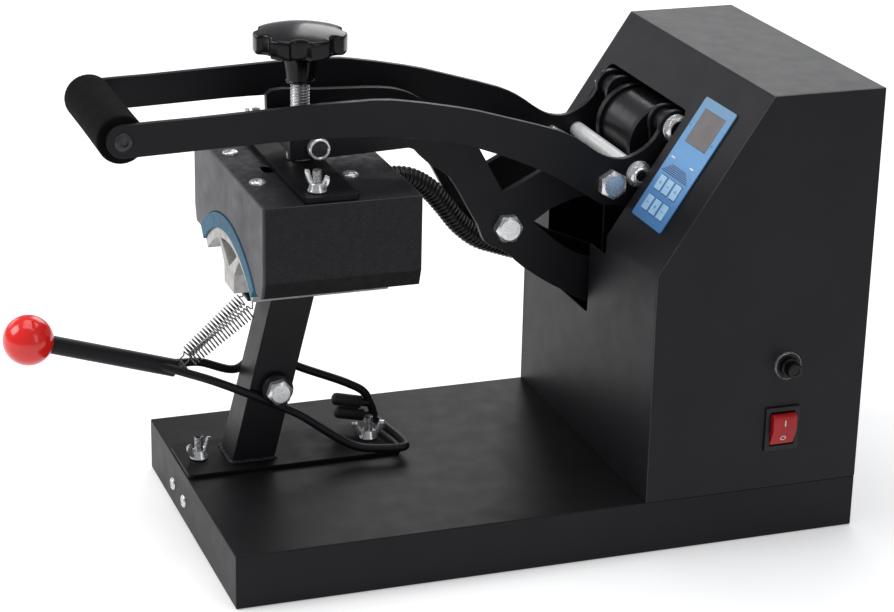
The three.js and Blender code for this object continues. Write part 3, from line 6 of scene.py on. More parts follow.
import bmesh
import bpy
import numpy as np
from mathutils import Matrix, Vector
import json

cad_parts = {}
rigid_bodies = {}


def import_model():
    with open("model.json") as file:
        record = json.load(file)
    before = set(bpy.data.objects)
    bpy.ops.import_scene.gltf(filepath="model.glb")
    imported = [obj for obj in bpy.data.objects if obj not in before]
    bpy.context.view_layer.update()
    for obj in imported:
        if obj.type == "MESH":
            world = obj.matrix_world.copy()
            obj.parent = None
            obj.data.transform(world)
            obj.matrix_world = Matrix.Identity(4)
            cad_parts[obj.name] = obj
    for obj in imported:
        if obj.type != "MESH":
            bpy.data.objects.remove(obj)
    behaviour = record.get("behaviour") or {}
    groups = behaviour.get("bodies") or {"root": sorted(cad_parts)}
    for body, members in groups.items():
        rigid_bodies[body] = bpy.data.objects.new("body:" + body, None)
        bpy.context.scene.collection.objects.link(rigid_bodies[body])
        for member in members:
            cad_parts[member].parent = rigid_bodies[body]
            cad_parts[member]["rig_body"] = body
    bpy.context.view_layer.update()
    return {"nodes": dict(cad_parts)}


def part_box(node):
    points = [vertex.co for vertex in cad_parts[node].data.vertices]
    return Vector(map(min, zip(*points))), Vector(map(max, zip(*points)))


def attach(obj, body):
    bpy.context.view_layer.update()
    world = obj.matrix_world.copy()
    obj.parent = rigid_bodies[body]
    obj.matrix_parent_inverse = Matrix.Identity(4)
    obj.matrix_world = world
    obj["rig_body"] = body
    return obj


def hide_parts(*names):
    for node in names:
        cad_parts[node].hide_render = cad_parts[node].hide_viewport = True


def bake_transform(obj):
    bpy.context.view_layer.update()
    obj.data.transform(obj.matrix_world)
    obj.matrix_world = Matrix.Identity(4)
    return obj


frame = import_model()

MM = 0.001
TAU = 2 * math.pi
UP = Vector((0, 0, 1))
BASE_DEPTH = 450
ARM_X = -35.5
GAP = 0.3
SIDES = ((1, "right"), (-1, "left"))


def at(side, depth, height):
    """A point in metres: across, back from the base's front edge, and up."""
    return Vector((side * MM, (depth - BASE_DEPTH / 2) * MM, height * MM))


def off(side, distance, spot):
    """The point beside spot, distance from the arm's middle plane."""
    return Vector(((ARM_X + side * distance) * MM, spot.y, spot.z))


def middle(node):
    """Middle of a node's box, in metres."""
    low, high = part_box(node)
    return (low + high) / 2


def low_end(node):
    """Middle of the low end of a node that lies along X."""
    spot = middle(node)
    return Vector((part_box(node)[0].x, spot.y, spot.z))


def body_of(node):
    return frame["nodes"][node]["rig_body"]


def placed(name, data):
    """A new object in the scene."""
    made = bpy.data.objects.new(name, data)
    bpy.context.scene.collection.objects.link(made)
    return made


def tree_node(tree, kind, links=(), **values):
    """A new node with its values set and its inputs linked to the sockets they are paired with."""
    node = tree.nodes.new(kind)
    for key, value in values.items():
        if hasattr(node, key):
            setattr(node, key, value)
        else:
            node.inputs[key].default_value = value
    for socket, source in links:
        tree.links.new(source, node.inputs[socket])
    return node


# Finishes

SPECULAR = "Specular IOR Level"
# Heights between which a finish changes
# Above BASE_EDGE_BAND the base's top is painted darker as shade
BASE_EDGE_BAND = 37.2, 37.9
# Below COVER_FOLD_BAND the head cover is painted near black as shade
COVER_FOLD_BAND = 200, 198.5
# Up FASCIA_BAND the fascia's blue carries painted shade at its foot and painted light across its middle
FASCIA_BAND = 222, 302


def finish(name, colour, roughness, metallic=0.0, **sockets):
    """A new material with one shader; the uniform values sit on its sockets."""
    material = bpy.data.materials.new(name)
    material.use_nodes = True
    for label, value in {"Base Color": (*colour, 1), "Roughness": roughness, "Metallic": metallic, **sockets}.items():
        shader_of(material).inputs[label].default_value = value
    return material


def shader_of(material):
    return material.node_tree.nodes["Principled BSDF"]


def wire_up(material, source, label):
    """Drives one of the shader's inputs."""
    material.node_tree.links.new(source, shader_of(material).inputs[label])


def on_object(material, kind, **values):
    """A texture or vector node that reads the object's own coordinates."""
    tree = material.node_tree
    place = next((n for n in tree.nodes if n.bl_idname == "ShaderNodeTexCoord"), None)
    place = place or tree_node(tree, "ShaderNodeTexCoord")
    return tree_node(tree, kind, [("Vector", place.outputs["Object"])], **values)


def grain(material, size, detail=3.0, stretch=None):
    """Noise whose grains are about size across."""
    noise = on_object(material, "ShaderNodeTexNoise", Scale=1 / (size * MM), Detail=detail)
    if stretch:
        mapping = on_object(material, "ShaderNodeMapping", Scale=stretch)
        material.node_tree.links.new(mapping.outputs["Vector"], noise.inputs["Vector"])
    return noise.outputs["Fac"]


def cells(material, size):
    """Distance from the middles of cells about size across."""
    return on_object(material, "ShaderNodeTexVoronoi", Scale=1 / (size * MM)).outputs["Distance"]


def ramp(material, source, stops):
    node = tree_node(material.node_tree, "ShaderNodeValToRGB", [("Fac", source)])
    band = node.color_ramp
    for element, (place, colour) in zip(band.elements, (stops[0], stops[-1])):
        element.position, element.color = place, (*colour, 1)
    for place, colour in stops[1:-1]:
        band.elements.new(place).color = (*colour, 1)
    return node.outputs["Color"]


def spread(material, source, low, high, start=0.3, end=0.7):
    """Runs from low to high while the source runs from start to end."""
    return tree_node(material.node_tree, "ShaderNodeMapRange", [("Value", source)], **{
        "From Min": start, "From Max": end, "To Min": low, "To Max": high}).outputs["Result"]


def climb(material, band):
    """Runs from 0 to 1 between the two heights of a band."""
    height = on_object(material, "ShaderNodeSeparateXYZ").outputs["Z"]
    (start, low), (end, high) = sorted(zip(band, (0, 1)))
    return spread(material, height, low, high, start * MM, end * MM)


def relief(material, layers):
    """Chained bumps: height source, strength and depth."""
    previous = None
    for source, strength, depth in layers:
        links = [("Height", source)] + ([("Normal", previous)] if previous else [])
        bump = tree_node(material.node_tree, "ShaderNodeBump", links, Strength=strength, Distance=depth * MM)
        previous = bump.outputs["Normal"]
    wire_up(material, previous, "Normal")


def drifting(name, shades, gloss, shade_grain, gloss_grain, metallic=0.0, **sockets):
    """A finish whose shade and roughness drift, each between two values on noise of its own grain."""
    made = finish(name, shades[1], sum(gloss) / 2, metallic, **sockets)
    wire_up(made, ramp(made, grain(made, *shade_grain), [(0.3, shades[0]), (0.7, shades[1])]), "Base Color")
    wire_up(made, spread(made, grain(made, *gloss_grain), *gloss), "Roughness")
    return made


def powder_coat(name, dark, light, size, depth, low, high, shine=0.2):
    """Baked powder paint: broad shade drift, fine orange peel and a rougher cast where it thins."""
    made = drifting(name, (dark, light), (low, high), (60, 2), (14, 4), **{SPECULAR: shine})
    relief(made, [(grain(made, size * 3.5, 2), 0.25, depth), (grain(made, size, 3), 0.6, depth)])
    return made


def mixed(material, factor, colour, second=None, plain=None):
    """Drives the shader's colour: one source, which gives way by the factor to a second one or a plain colour."""
    links = [("Factor", factor), ("A", colour)] + ([("B", second)] if second else [])
    mix = tree_node(material.node_tree, "ShaderNodeMix", links, data_type="RGBA", **({"B": plain} if plain else {}))
    wire_up(material, mix.outputs["Result"], "Base Color")


def base_coat():
    """The base's paint: satin walls, and a top painted darker as shade, for the shadow and dark reflections it takes
    under the housing.
    """
    made = powder_coat("base_black_powder", (0.0105, 0.0105, 0.0125), (0.014, 0.0138, 0.0165),
                       0.7, 0.03, 0.42, 0.48, 0.16)
    satin = shader_of(made).inputs["Base Color"].links[0].from_socket
    # Painted shade: the top takes a darker colour than the walls
    painted_shade_top = ramp(made, grain(made, 35, 4), [(0.3, (0.0055, 0.0055, 0.0062)), (0.7, (0.0075, 0.0075, 0.0084))])
    mixed(made, climb(made, BASE_EDGE_BAND), satin, painted_shade_top)
    return made


def speckled_coat():
    """Coarse textured paint whose small flecks carry painted glints, and painted shade that turns it near black on
    the downward chamfer below the cover's fold.
    """
    light = 0.0145, 0.0143, 0.0175
    made = finish("textured_black_powder", light, 0.5, **{SPECULAR: 0.2})
    flecks = cells(made, 1.1)
    # Painted glints: the middles of the flecks are painted light
    spots = ramp(made, flecks, [(0.0, (0.09, 0.09, 0.1)), (0.22, light), (1.0, (0.0095, 0.0095, 0.0118))])
    wire_up(made, spread(made, grain(made, 5, 4), 0.38, 0.6), "Roughness")
    relief(made, [(grain(made, 1.6, 3), 0.5, 0.12), (flecks, 0.35, 0.1)])
    # Painted shade: below the fold the cover is painted near black
    mixed(made, climb(made, COVER_FOLD_BAND), spots, plain=(0.0012, 0.0012, 0.0016, 1))
    return made


def plated(name, dark, light, low, high, scratch=(1, 1, 1), marks=0.12, metallic=0.78):
    """Zinc plate or bright steel: slightly cloudy, with fine tool marks."""
    made = drifting(name, (dark, light), (low, high), (5, 4), (2.2, 4), metallic)
    relief(made, [(grain(made, 0.5, 3, scratch), marks, 0.03)])
    return made


def moulded(name, dark, light, low, high, coat=0.0, depth=0.02, shine=0.5):
    """Moulded plastic: faint flow marks, a fine skin and light rubbing."""
    made = drifting(name, (dark, light), (low, high), (18, 3), (3, 4),
                    **{"Coat Weight": coat, "Coat Roughness": 0.06, SPECULAR: shine})
    relief(made, [(grain(made, 0.9, 3), 0.3, depth)])
    return made


def cast_metal():
    made = drifting("sand_cast_aluminium", ((0.42, 0.41, 0.39), (0.7, 0.69, 0.66)), (0.45, 0.7), (9, 5), (3, 4), 0.35)
    relief(made, [(grain(made, 2.4, 5), 0.6, 0.25), (cells(made, 2.2), 0.3, 0.15)])
    return made


def platen_metal():
    made = drifting("heat_toned_aluminium", ((0.09, 0.083, 0.074), (0.2, 0.19, 0.175)), (0.32, 0.52),
                    (16, 4), (4, 3), 0.7)
    relief(made, [(grain(made, 1.2, 3, (6, 0.4, 6)), 0.3, 0.05)])
    return made


def silicone():
    made = drifting("teal_silicone", ((0.02, 0.11, 0.185), (0.032, 0.165, 0.265)), (0.55, 0.72), (22, 3), (4, 3),
                    **{"Subsurface Weight": 0.06, "Subsurface Radius": (0.0006, 0.001, 0.0014)})
    relief(made, [(grain(made, 1.4, 4), 0.35, 0.09)])
    return made


def foam():
    made = drifting("closed_cell_foam", ((0.003, 0.003, 0.0034), (0.007, 0.007, 0.0078)), (0.85, 0.98),
                    (12, 3), (2, 3), **{"Sheen Weight": 0.01, "Sheen Roughness": 0.6, SPECULAR: 0.05})
    relief(made, [(grain(made, 6, 3), 0.3, 0.35), (cells(made, 0.8), 0.6, 0.16)])
    return made


def fascia_film():
    """The fascia's blue film, with painted shade deepening it towards its foot and painted light paling it across its
    middle.
    """
    made = moulded("satin_blue_film", (0.1, 0.3, 0.6), (0.12, 0.34, 0.65), 0.34, 0.46)
    # Painted shade at the foot and painted light across the middle
    wire_up(made, ramp(made, climb(made, FASCIA_BAND), [
        (0.0, (0.055, 0.18, 0.4)), (0.3, (0.085, 0.25, 0.52)), (0.55, (0.13, 0.35, 0.66)),
        (0.8, (0.125, 0.33, 0.6)), (1.0, (0.17, 0.32, 0.5))]), "Base Color")
    return made


black_paint = powder_coat("satin_black_powder", (0.0095, 0.0095, 0.0115), (0.013, 0.0128, 0.0158),
                          0.7, 0.03, 0.42, 0.47)
base_paint = base_coat()
arm_paint = powder_coat("arm_black_powder", (0.0075, 0.0075, 0.009), (0.01, 0.01, 0.0125), 0.6, 0.025, 0.38, 0.45)
head_paint = speckled_coat()
front_paint = powder_coat("grey_powder", (0.078, 0.078, 0.083), (0.112, 0.112, 0.12), 0.7, 0.03, 0.42, 0.56)
sheet_paint = powder_coat("bottom_sheet_grey", (0.025, 0.025, 0.028), (0.04, 0.04, 0.044), 0.9, 0.03, 0.5, 0.65)
hub_paint = powder_coat("hub_gloss_black", (0.006, 0.006, 0.007), (0.009, 0.009, 0.0105), 0.9, 0.02, 0.26, 0.36, 0.3)
# Painted highlight: the rounded edges of the head cover and side panels take this lighter black
edge_glint_paint = powder_coat("painted_edge_glint_black", (0.025, 0.025, 0.028), (0.075, 0.075, 0.08), 0.5, 0.02, 0.3, 0.42, 0.4)
bridge_paint = powder_coat("bridge_black_powder", (0.004, 0.004, 0.005), (0.0065, 0.0065, 0.0075),
                           0.6, 0.03, 0.42, 0.55, 0.12)
weld_steel = powder_coat("painted_weld", (0.012, 0.012, 0.014), (0.03, 0.03, 0.033), 0.6, 0.08, 0.3, 0.5)
zinc = plated("bright_zinc", (0.7, 0.71, 0.72), (0.86, 0.86, 0.86), 0.22, 0.32)
rod_zinc = plated("satin_white_zinc", (0.74, 0.74, 0.75), (0.88, 0.88, 0.88), 0.34, 0.46, (0.2, 1, 1), 0.08, 0.35)
spring_steel = plated("spring_wire", (0.07, 0.07, 0.073), (0.2, 0.2, 0.205), 0.24, 0.36)
screw_steel = plated("turned_steel", (0.5, 0.5, 0.51), (0.7, 0.7, 0.7), 0.2, 0.32)
dark_steel = plated("oiled_steel", (0.03, 0.03, 0.032), (0.06, 0.06, 0.063), 0.35, 0.5)
cast_aluminium = cast_metal()
platen_aluminium = platen_metal()
teal_silicone = silicone()
grip_foam_skin = foam()
black_gloss = moulded("black_phenolic", (0.004, 0.004, 0.005), (0.006, 0.006, 0.007), 0.17, 0.22, 0.05, 0.003, 0.22)
red_gloss = moulded("red_phenolic", (0.92, 0.016, 0.014), (0.98, 0.022, 0.018), 0.12, 0.2, 0.25, 0.008)
black_plastic = moulded("black_plastic", (0.01, 0.01, 0.011), (0.016, 0.016, 0.018), 0.3, 0.45, shine=0.25)
sleeve_rubber = moulded("sleeve_rubber", (0.006, 0.006, 0.007), (0.01, 0.01, 0.011), 0.6, 0.78, depth=0.06)
corrugated_plastic = moulded("corrugated_plastic", (0.006, 0.006, 0.007), (0.01, 0.01, 0.011), 0.32, 0.46)
red_plastic = moulded("clear_red_plastic", (0.42, 0.008, 0.012), (0.56, 0.012, 0.016), 0.16, 0.24, 0.15,
                      shine=0.25)
display_smoke = moulded("smoked_window", (0.13, 0.12, 0.125), (0.17, 0.15, 0.15), 0.38, 0.5, 0.05)
key_film = moulded("pale_blue_keys", (0.3, 0.5, 0.74), (0.38, 0.6, 0.82), 0.34, 0.46)
print_dark = moulded("dark_print", (0.008, 0.012, 0.03), (0.014, 0.02, 0.045), 0.4, 0.55)
print_soft = moulded("soft_blue_print", (0.12, 0.27, 0.46), (0.16, 0.32, 0.52), 0.4, 0.55)
print_white = moulded("white_print", (0.7, 0.72, 0.74), (0.85, 0.86, 0.88), 0.4, 0.55)
fuse_glass = moulded("fuse_body", (0.5, 0.52, 0.54), (0.66, 0.68, 0.7), 0.12, 0.22, 0.4)
fascia_blue = fascia_film()


# Mesh helpers

def evaluated(holder):
    """The plain mesh of an object with its modifiers run; the object goes."""
    bpy.context.view_layer.update()
    done = bpy.data.meshes.new_from_object(holder.evaluated_get(bpy.context.evaluated_depsgraph_get()))
    holder.modifiers.clear()
    bpy.data.objects.remove(holder)
    return done


def painted(mesh, *finishes):
    """Gives a mesh its finishes, with every face on the first."""
    mesh.polygons.foreach_set("material_index", [0] * len(mesh.polygons))
    mesh.materials.clear()
    for layer in finishes:
        mesh.materials.append(layer)


def settled(mesh):
    """The same mesh with normals that keep its flat faces flat beside their rounded edges."""
    holder = placed("normal_holder", mesh)
    holder.modifiers.new("weighed", "WEIGHTED_NORMAL").keep_sharp = True
    return evaluated(holder)


def new_piece(name, mesh, material, body, angle=32, settle=False):
    """Shades a finished mesh and lets it ride on its body; a mesh that has its finishes comes with None."""
    if material:
        painted(mesh, material)
    mesh.polygons.foreach_set("use_smooth", [True] * len(mesh.polygons))
    mesh.set_sharp_from_angle(angle=math.radians(angle))
    made = placed(name, settled(mesh) if settle else mesh)
    if body:
        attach(made, body)
    return made


def bevelled(mesh, width, segments, fold):
    """The mesh with its sharp edges rounded; with fold, the rounded faces take the second finish, a painted
    highlight.
    """
    holder = placed("bevel_holder", mesh)
    bevel = holder.modifiers.new("rounded", "BEVEL")
    bevel.width = width * MM
    bevel.segments = segments
    bevel.limit_method = "ANGLE"
    bevel.angle_limit = math.radians(40)
    bevel.use_clamp_overlap = False
    bevel.miter_outer = "MITER_ARC"
    if fold:
        bevel.material = 1
    return evaluated(holder)


def skin(node, material, edge=0.5, segments=2, angle=32, extra=None, fold=None):
    """Stands for a CAD node: its own merged form with softened edges, or unchanged where edge is 0."""
    mesh = frame["nodes"][node].data.copy()
    shape = bmesh.new()
    shape.from_mesh(mesh)
    bmesh.ops.remove_doubles(shape, verts=shape.verts, dist=4e-6)
    if edge:
        bmesh.ops.dissolve_limit(shape, angle_limit=math.radians(0.6), verts=shape.verts, edges=shape.edges)
    if extra:
        extra(shape)
    shape.to_mesh(mesh)
    shape.free()
    painted(mesh, *([material, fold] if fold else [material]))
    if edge:
        mesh = bevelled(mesh, edge, segments, fold)
    made = new_piece(f"{node}_skin", mesh, None, body_of(node), angle, bool(edge))
    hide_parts(node)
    return made


def mesh_from(name, parts):
    """One mesh from parts, each a pair of points in metres and faces."""
    points, faces = [], []
    for some, these in parts:
        first = len(points)
        points.extend(tuple(p) for p in some)
        faces.extend(tuple(first + i for i in face) for face in these)
    mesh = bpy.data.meshes.new(name)
    mesh.from_pydata(points, [], faces)
    shape = bmesh.new()
    shape.from_mesh(mesh)
    bmesh.ops.remove_doubles(shape, verts=shape.verts, dist=1e-7)
    bmesh.ops.recalc_face_normals(shape, faces=shape.faces)
    shape.to_mesh(mesh)
    shape.free()
    return mesh


def part_of(name, parts, material, node, angle=20):
    """A further finish of a node that another piece stands for."""
    return new_piece(name, mesh_from(name, parts), material, body_of(node), angle)


def part_piece(name, parts, material, node, angle=32):
    """A piece made of whole parts that stands for a CAD node."""
    made = part_of(name, parts, material, node, angle)
    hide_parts(node)
    return made


def lofted(rings, hollow=False, caps=False):
    """Points and faces through rings of points; a ring of one point closes an end to a tip."""
    starts, points = [], []
    for ring in rings:
        starts.append(range(len(points), len(points) + len(ring)))
        points.extend(ring)
    sides = max(len(ring) for ring in rings)
    faces = [tuple(starts[0]), tuple(starts[-1])] if caps else []
    for one, two in zip(starts, starts[1:] + (starts[:1] if hollow else [])):
        for k in range(sides):
            n = (k + 1) % sides
            if len(one) == 1:
                faces.append((one[0], two[k], two[n]))
            elif len(two) == 1:
                faces.append((one[k], one[n], two[0]))
            else:
                faces.append((one[k], one[n], two[n], two[k]))
    return points, faces


def turned(profile, sides=48, shape=None, hollow=False):
    """A turned form about Z from pairs of height and radius; shape may change a radius by its angle."""
    rings = []
    for height, radius in profile:
        ring = []
        for k in range(sides if radius else 1):
            angle = k * TAU / sides
            reach = shape(angle, radius) if shape and radius else radius
            ring.append((reach * math.cos(angle), reach * math.sin(angle), height))
        rings.append(ring)
    return lofted(rings, hollow)


def box_part(x0, x1, y0, y1, z0, z1):
    """Points and faces of a box."""
    points = [(x, y, z) for x in (x0, x1) for y in (y0, y1) for z in (z0, z1)]
    faces = [(0, 1, 3, 2), (4, 6, 7, 5), (0, 4, 5, 1), (2, 3, 7, 6), (0, 2, 6, 4), (1, 5, 7, 3)]
    return points, faces


AXES = {
    "X": Matrix(((0, 0, 1), (1, 0, 0), (0, 1, 0))),
    "-X": Matrix(((0, 0, -1), (1, 0, 0), (0, -1, 0))),
    "Z": Matrix.Identity(3),
}


def laid(part, axis, centre, turn=0.0):
    """A form in metres: its own height runs along an axis from the centre."""
    spin = Matrix.Rotation(turn, 3, "Z")
    return [centre + AXES[axis] @ (spin @ Vector(p)) * MM for p in part[0]], part[1]


def beside(part, side, distance, spot, turn=0.0):
    """A form that points away from the arm's middle plane, from a distance beside a spot."""
    return laid(part, "X" if side > 0 else "-X", off(side, distance, spot), turn)


def facing(way):
    """The turn that lays Z along a direction."""
    return way.to_track_quat("Z", "Y").to_matrix()


def aimed(part, way, foot):
    """A form in metres: its own height runs along any direction from the foot."""
    turn = facing(way)
    return [foot + turn @ (Vector(p) * MM) for p in part[0]], part[1]


def corner_of(across):
    """Corner radius of a hexagon across its flats."""
    return across / 2 / math.cos(TAU / 12)


def hexed(across):
    """Radius limit of a hexagon across its flats."""
    def limit(angle, radius):
        return min(radius, across / 2 / math.cos(angle % (TAU / 6) - TAU / 12))
    return limit


def chamfer_rings(across, height, top, steps=8):
    """Rings of a hexagon's turned chamfer, from its corners up to a circle at the height."""
    fall = corner_of(across) - top
    return [(height - (1 - step / steps) * fall * 0.6, corner_of(across) - fall * step / steps)
            for step in range(steps + 1)]


def hex_head(across, height):
    """Bolt head: hexagon, turned chamfer and a flat top."""
    rings = chamfer_rings(across, height, across * 0.41)
    return turned([(0, 0), (0, corner_of(across))] + rings + [(height, 0)], 72, hexed(across))


def hex_nut(across, height, bolt, nylon=True):
    """Nut with a chamfered hexagon; a locking nut also has its round crimped collar."""
    corner, collar = corner_of(across), across * 0.42
    rings = chamfer_rings(across, height * (0.7 if nylon else 1), collar)
    profile = [(0, bolt), (0, corner * 0.96), (0.4, corner)] + rings
    if nylon:
        profile += [(height - 0.7, collar), (height - 0.2, collar * 0.95), (height, collar * 0.87)]
    return turned(profile + [(height, bolt + 0.5), (height - 0.6, bolt)], 72, hexed(across), hollow=True)


def pin(radius, length, edge=0.5, sides=48):
    """A short round bar with its edges broken."""
    return turned([(0, 0), (0, radius - edge), (edge, radius), (length - edge, radius),
                   (length, radius - edge), (length, 0)], sides)


def washer(radius, height):
    return pin(radius, height, min(0.35, height / 3), 64)


def plain_bar(radius, length, sides=48):
    """A round bar with sharp ends."""
    return turned([(0, 0), (0, radius), (length, radius), (length, 0)], sides)


def smooth_line(points, steps):
    """Centripetal Catmull-Rom curve through points, as in the frame's own rods."""
    knots = [Vector(p) for p in points]
    knots = [knots[0] * 2 - knots[1]] + knots + [knots[-1] * 2 - knots[-2]]
    out = []
    for i in range(1, len(knots) - 2):
        p = knots[i - 1:i + 3]
        times = [0.0]
        for one, two in zip(p, p[1:]):
            times.append(times[-1] + max((two - one).length, 1e-9) ** 0.5)
        for k in range(steps):
            t = times[1] + (times[2] - times[1]) * k / steps

            def between(a, b, one, two):
                return a * ((times[two] - t) / (times[two] - times[one])) + \
                    b * ((t - times[one]) / (times[two] - times[one]))
            a1, a2, a3 = (between(p[n], p[n + 1], n, n + 1) for n in range(3))
            out.append(between(between(a1, a2, 0, 2), between(a2, a3, 1, 3), 1, 2))
    return out + [knots[-2]]


def tube(path, radius, sides=20):
    """A round bar with flat ends along points in metres."""
    rings, side = [], None
    for i, p in enumerate(path):
        ahead = (path[min(i + 1, len(path) - 1)] - path[max(i - 1, 0)]).normalized()
        side = side or ahead.orthogonal().normalized()
        side = (side - ahead * side.dot(ahead)).normalized()
        other = ahead.cross(side)
        rings.append([p + (side * math.cos(k * TAU / sides) + other * math.sin(k * TAU / sides)) * radius * MM
                      for k in range(sides)])
    return lofted(rings, caps=True)


# Geometry Nodes

FLOAT = "NodeSocketFloat"
WHOLE = "NodeSocketInt"
FINISH = "NodeSocketMaterial"


def new_tree(name, inputs):
    """An empty node group that takes and gives geometry; gives its tree, its input sockets and its end."""
    tree = bpy.data.node_groups.new(name, "GeometryNodeTree")
    for label, kind in [("Geometry", "NodeSocketGeometry"), *inputs, ("Finish", FINISH)]:
        tree.interface.new_socket(label, in_out="INPUT", socket_type=kind)
    tree.interface.new_socket("Geometry", in_out="OUTPUT", socket_type="NodeSocketGeometry")
    return tree, tree.nodes.new("NodeGroupInput").outputs, tree.nodes.new("NodeGroupOutput")


def closing(tree, entry, leaving, source):
    """Realize Instances and Set Material at the tree's end."""
    real = tree_node(tree, "GeometryNodeRealizeInstances", [("Geometry", source)])
    coated = tree_node(tree, "GeometryNodeSetMaterial",
                       [("Geometry", real.outputs[0]), ("Material", entry["Finish"])])
    tree.links.new(coated.outputs[0], leaving.inputs["Geometry"])
    return tree


def circle(tree, radius, count):
    ring = tree_node(tree, "GeometryNodeCurvePrimitiveCircle", [("Radius", radius)], Resolution=count)
    return ring.outputs["Curve"]


def swept(tree, line, section, caps=False):
    return tree_node(tree, "GeometryNodeCurveToMesh", [("Curve", line), ("Profile Curve", section)],
                     **{"Fill Caps": caps}).outputs["Mesh"]


def spaced(tree, line, gap):
    """Points along a curve, a gap apart."""
    return tree_node(tree, "GeometryNodeCurveToPoints", [("Curve", line), ("Length", gap)], mode="LENGTH").outputs


def on_points(tree, points, form, label, source):
    """A form on every point, with its rotation or its scale from a socket."""
    return tree_node(tree, "GeometryNodeInstanceOnPoints",
                     [("Points", points), ("Instance", form), (label, source)]).outputs["Instances"]


def chance(tree, seed, low, high):
    """A random vector for each point."""
    return tree_node(tree, "FunctionNodeRandomValue", [("Seed", seed)], data_type="FLOAT_VECTOR",
                     Min=low, Max=high).outputs["Value"]


def ribbed_tree():
    """A corrugated tube: a thin wall along the curve and round ribs set square to it."""
    tree, entry, leaving = new_tree("corrugated_tube", [
        ("Rib Spacing", FLOAT), ("Rib Radius", FLOAT), ("Rib Thickness", FLOAT), ("Wall Radius", FLOAT)])
    wall = swept(tree, entry["Geometry"], circle(tree, entry["Wall Radius"], 20))
    rib = swept(tree, circle(tree, entry["Rib Radius"], 24), circle(tree, entry["Rib Thickness"], 8))
    places = spaced(tree, entry["Geometry"], entry["Rib Spacing"])
    ribs = on_points(tree, places["Points"], rib, "Rotation", places["Rotation"])
    both = tree_node(tree, "GeometryNodeJoinGeometry", [("Geometry", wall), ("Geometry", ribs)])
    return closing(tree, entry, leaving, both.outputs[0])


def coil_tree():
    """A wound wire or a thread ridge about Z."""
    tree, entry, leaving = new_tree("wound_wire", [
        ("Turns", FLOAT), ("Coil Radius", FLOAT), ("Wire Radius", FLOAT), ("Length", FLOAT), ("Steps a Turn", WHOLE)])
    spiral = tree_node(tree, "GeometryNodeCurveSpiral", [
        ("Resolution", entry["Steps a Turn"]), ("Rotations", entry["Turns"]), ("Start Radius", entry["Coil Radius"]),
        ("End Radius", entry["Coil Radius"]), ("Height", entry["Length"])])
    return closing(tree, entry, leaving,
                   swept(tree, spiral.outputs["Curve"], circle(tree, entry["Wire Radius"], 8), caps=True))


def screw_row_tree():
    """One screw form set on every point of the carried mesh."""
    tree, entry, leaving = new_tree("screw_row", [("Screw", "NodeSocketObject"), ("Seed", WHOLE)])
    form = tree_node(tree, "GeometryNodeObjectInfo", [("Object", entry["Screw"])])
    turn = chance(tree, entry["Seed"], (0, 0, 0), (0, 0, TAU))
    return closing(tree, entry, leaving,
                   on_points(tree, entry["Geometry"], form.outputs["Geometry"], "Rotation", turn))


def bead_tree():
    """A weld bead: overlapping flattened drops along a curve."""
    tree, entry, leaving = new_tree("weld_bead", [("Drop Spacing", FLOAT), ("Drop Radius", FLOAT), ("Seed", WHOLE)])
    drop = tree_node(tree, "GeometryNodeMeshIcoSphere", [("Radius", entry["Drop Radius"])], Subdivisions=2)
    places = spaced(tree, entry["Geometry"], entry["Drop Spacing"])
    size = chance(tree, entry["Seed"], (0.75, 0.75, 0.45), (1.25, 1.2, 0.8))
    return closing(tree, entry, leaving, on_points(tree, places["Points"], drop.outputs["Mesh"], "Scale", size))


def grown(holder, tree, **values):
    """The plain mesh that a tree makes on an object; the object goes."""
    grows = holder.modifiers.new("grown", "NODES")
    grows.node_group = tree
    for item in tree.interface.items_tree:
        if item.item_type == "SOCKET" and item.in_out == "INPUT" and item.name in values:
            grows[item.identifier] = values[item.name]
    return evaluated(holder)


def curve_holder(points):
    line = bpy.data.curves.new("line", "CURVE")
    line.dimensions = "3D"
    spline = line.splines.new("POLY")
    spline.points.add(len(points) - 1)
    for spot, p in zip(spline.points, points):
        spot.co = (*p, 1)
    return placed("line_holder", line)


ribbed = ribbed_tree()
wound = coil_tree()
screw_row = screw_row_tree()
weld_row = bead_tree()


def coil_between(foot, crown, turns, coil_radius, wire_radius, material, steps):
    """Points in metres and faces of a wound wire from foot to crown."""
    mesh = grown(placed("coil_holder", bpy.data.meshes.new("blank")), wound, **{
        "Turns": float(turns), "Coil Radius": coil_radius * MM, "Wire Radius": wire_radius * MM,
        "Length": (crown - foot).length, "Steps a Turn": steps, "Finish": material})
    way = facing(crown - foot)
    return [foot + way @ v.co for v in mesh.vertices], [tuple(p.vertices) for p in mesh.polygons]


# Sheet metal, plates and castings

for node, paint, edge in (
    ("base_tray", base_paint, 0.9), ("bottom_plate", sheet_paint, 0), ("rear_panel", black_paint, 0),
    ("pivot_frame", black_paint, 0.4), ("mould_plate", bridge_paint, 0.6), ("post", arm_paint, 0.8),
    ("arm_plate_right", arm_paint, 0.5), ("arm_plate_left", arm_paint, 0.5), ("handle_plate_right", arm_paint, 0.5),
    ("handle_plate_left", arm_paint, 0.5), ("clamp_block", arm_paint, 0.8), ("bridge", bridge_paint, 0.6),
    ("head_front", front_paint, 0.4), ("mould_casting", cast_aluminium, 0.5), ("mould_pad", teal_silicone, 0.6),
    ("heat_platen", platen_aluminium, 0.3), ("power_inlet", black_plastic, 0.4), ("switch_body", black_plastic, 0.5),
    ("arm_shaft", zinc, 0.4), ("fascia", fascia_blue, 0.15), ("display", display_smoke, 0.15),
    ("fuse_cartridge", fuse_glass, 0.3), ("housing_wrap", black_paint, 0.35),
):
    skin(node, paint, edge)
# The rounded edges of the cover and side panels are painted lighter as highlights
skin("head_cover", head_paint, angle=14, fold=edge_glint_paint)
for node in ("side_panel_right", "side_panel_left"):
    skin(node, black_paint, 0.3, fold=edge_glint_paint)

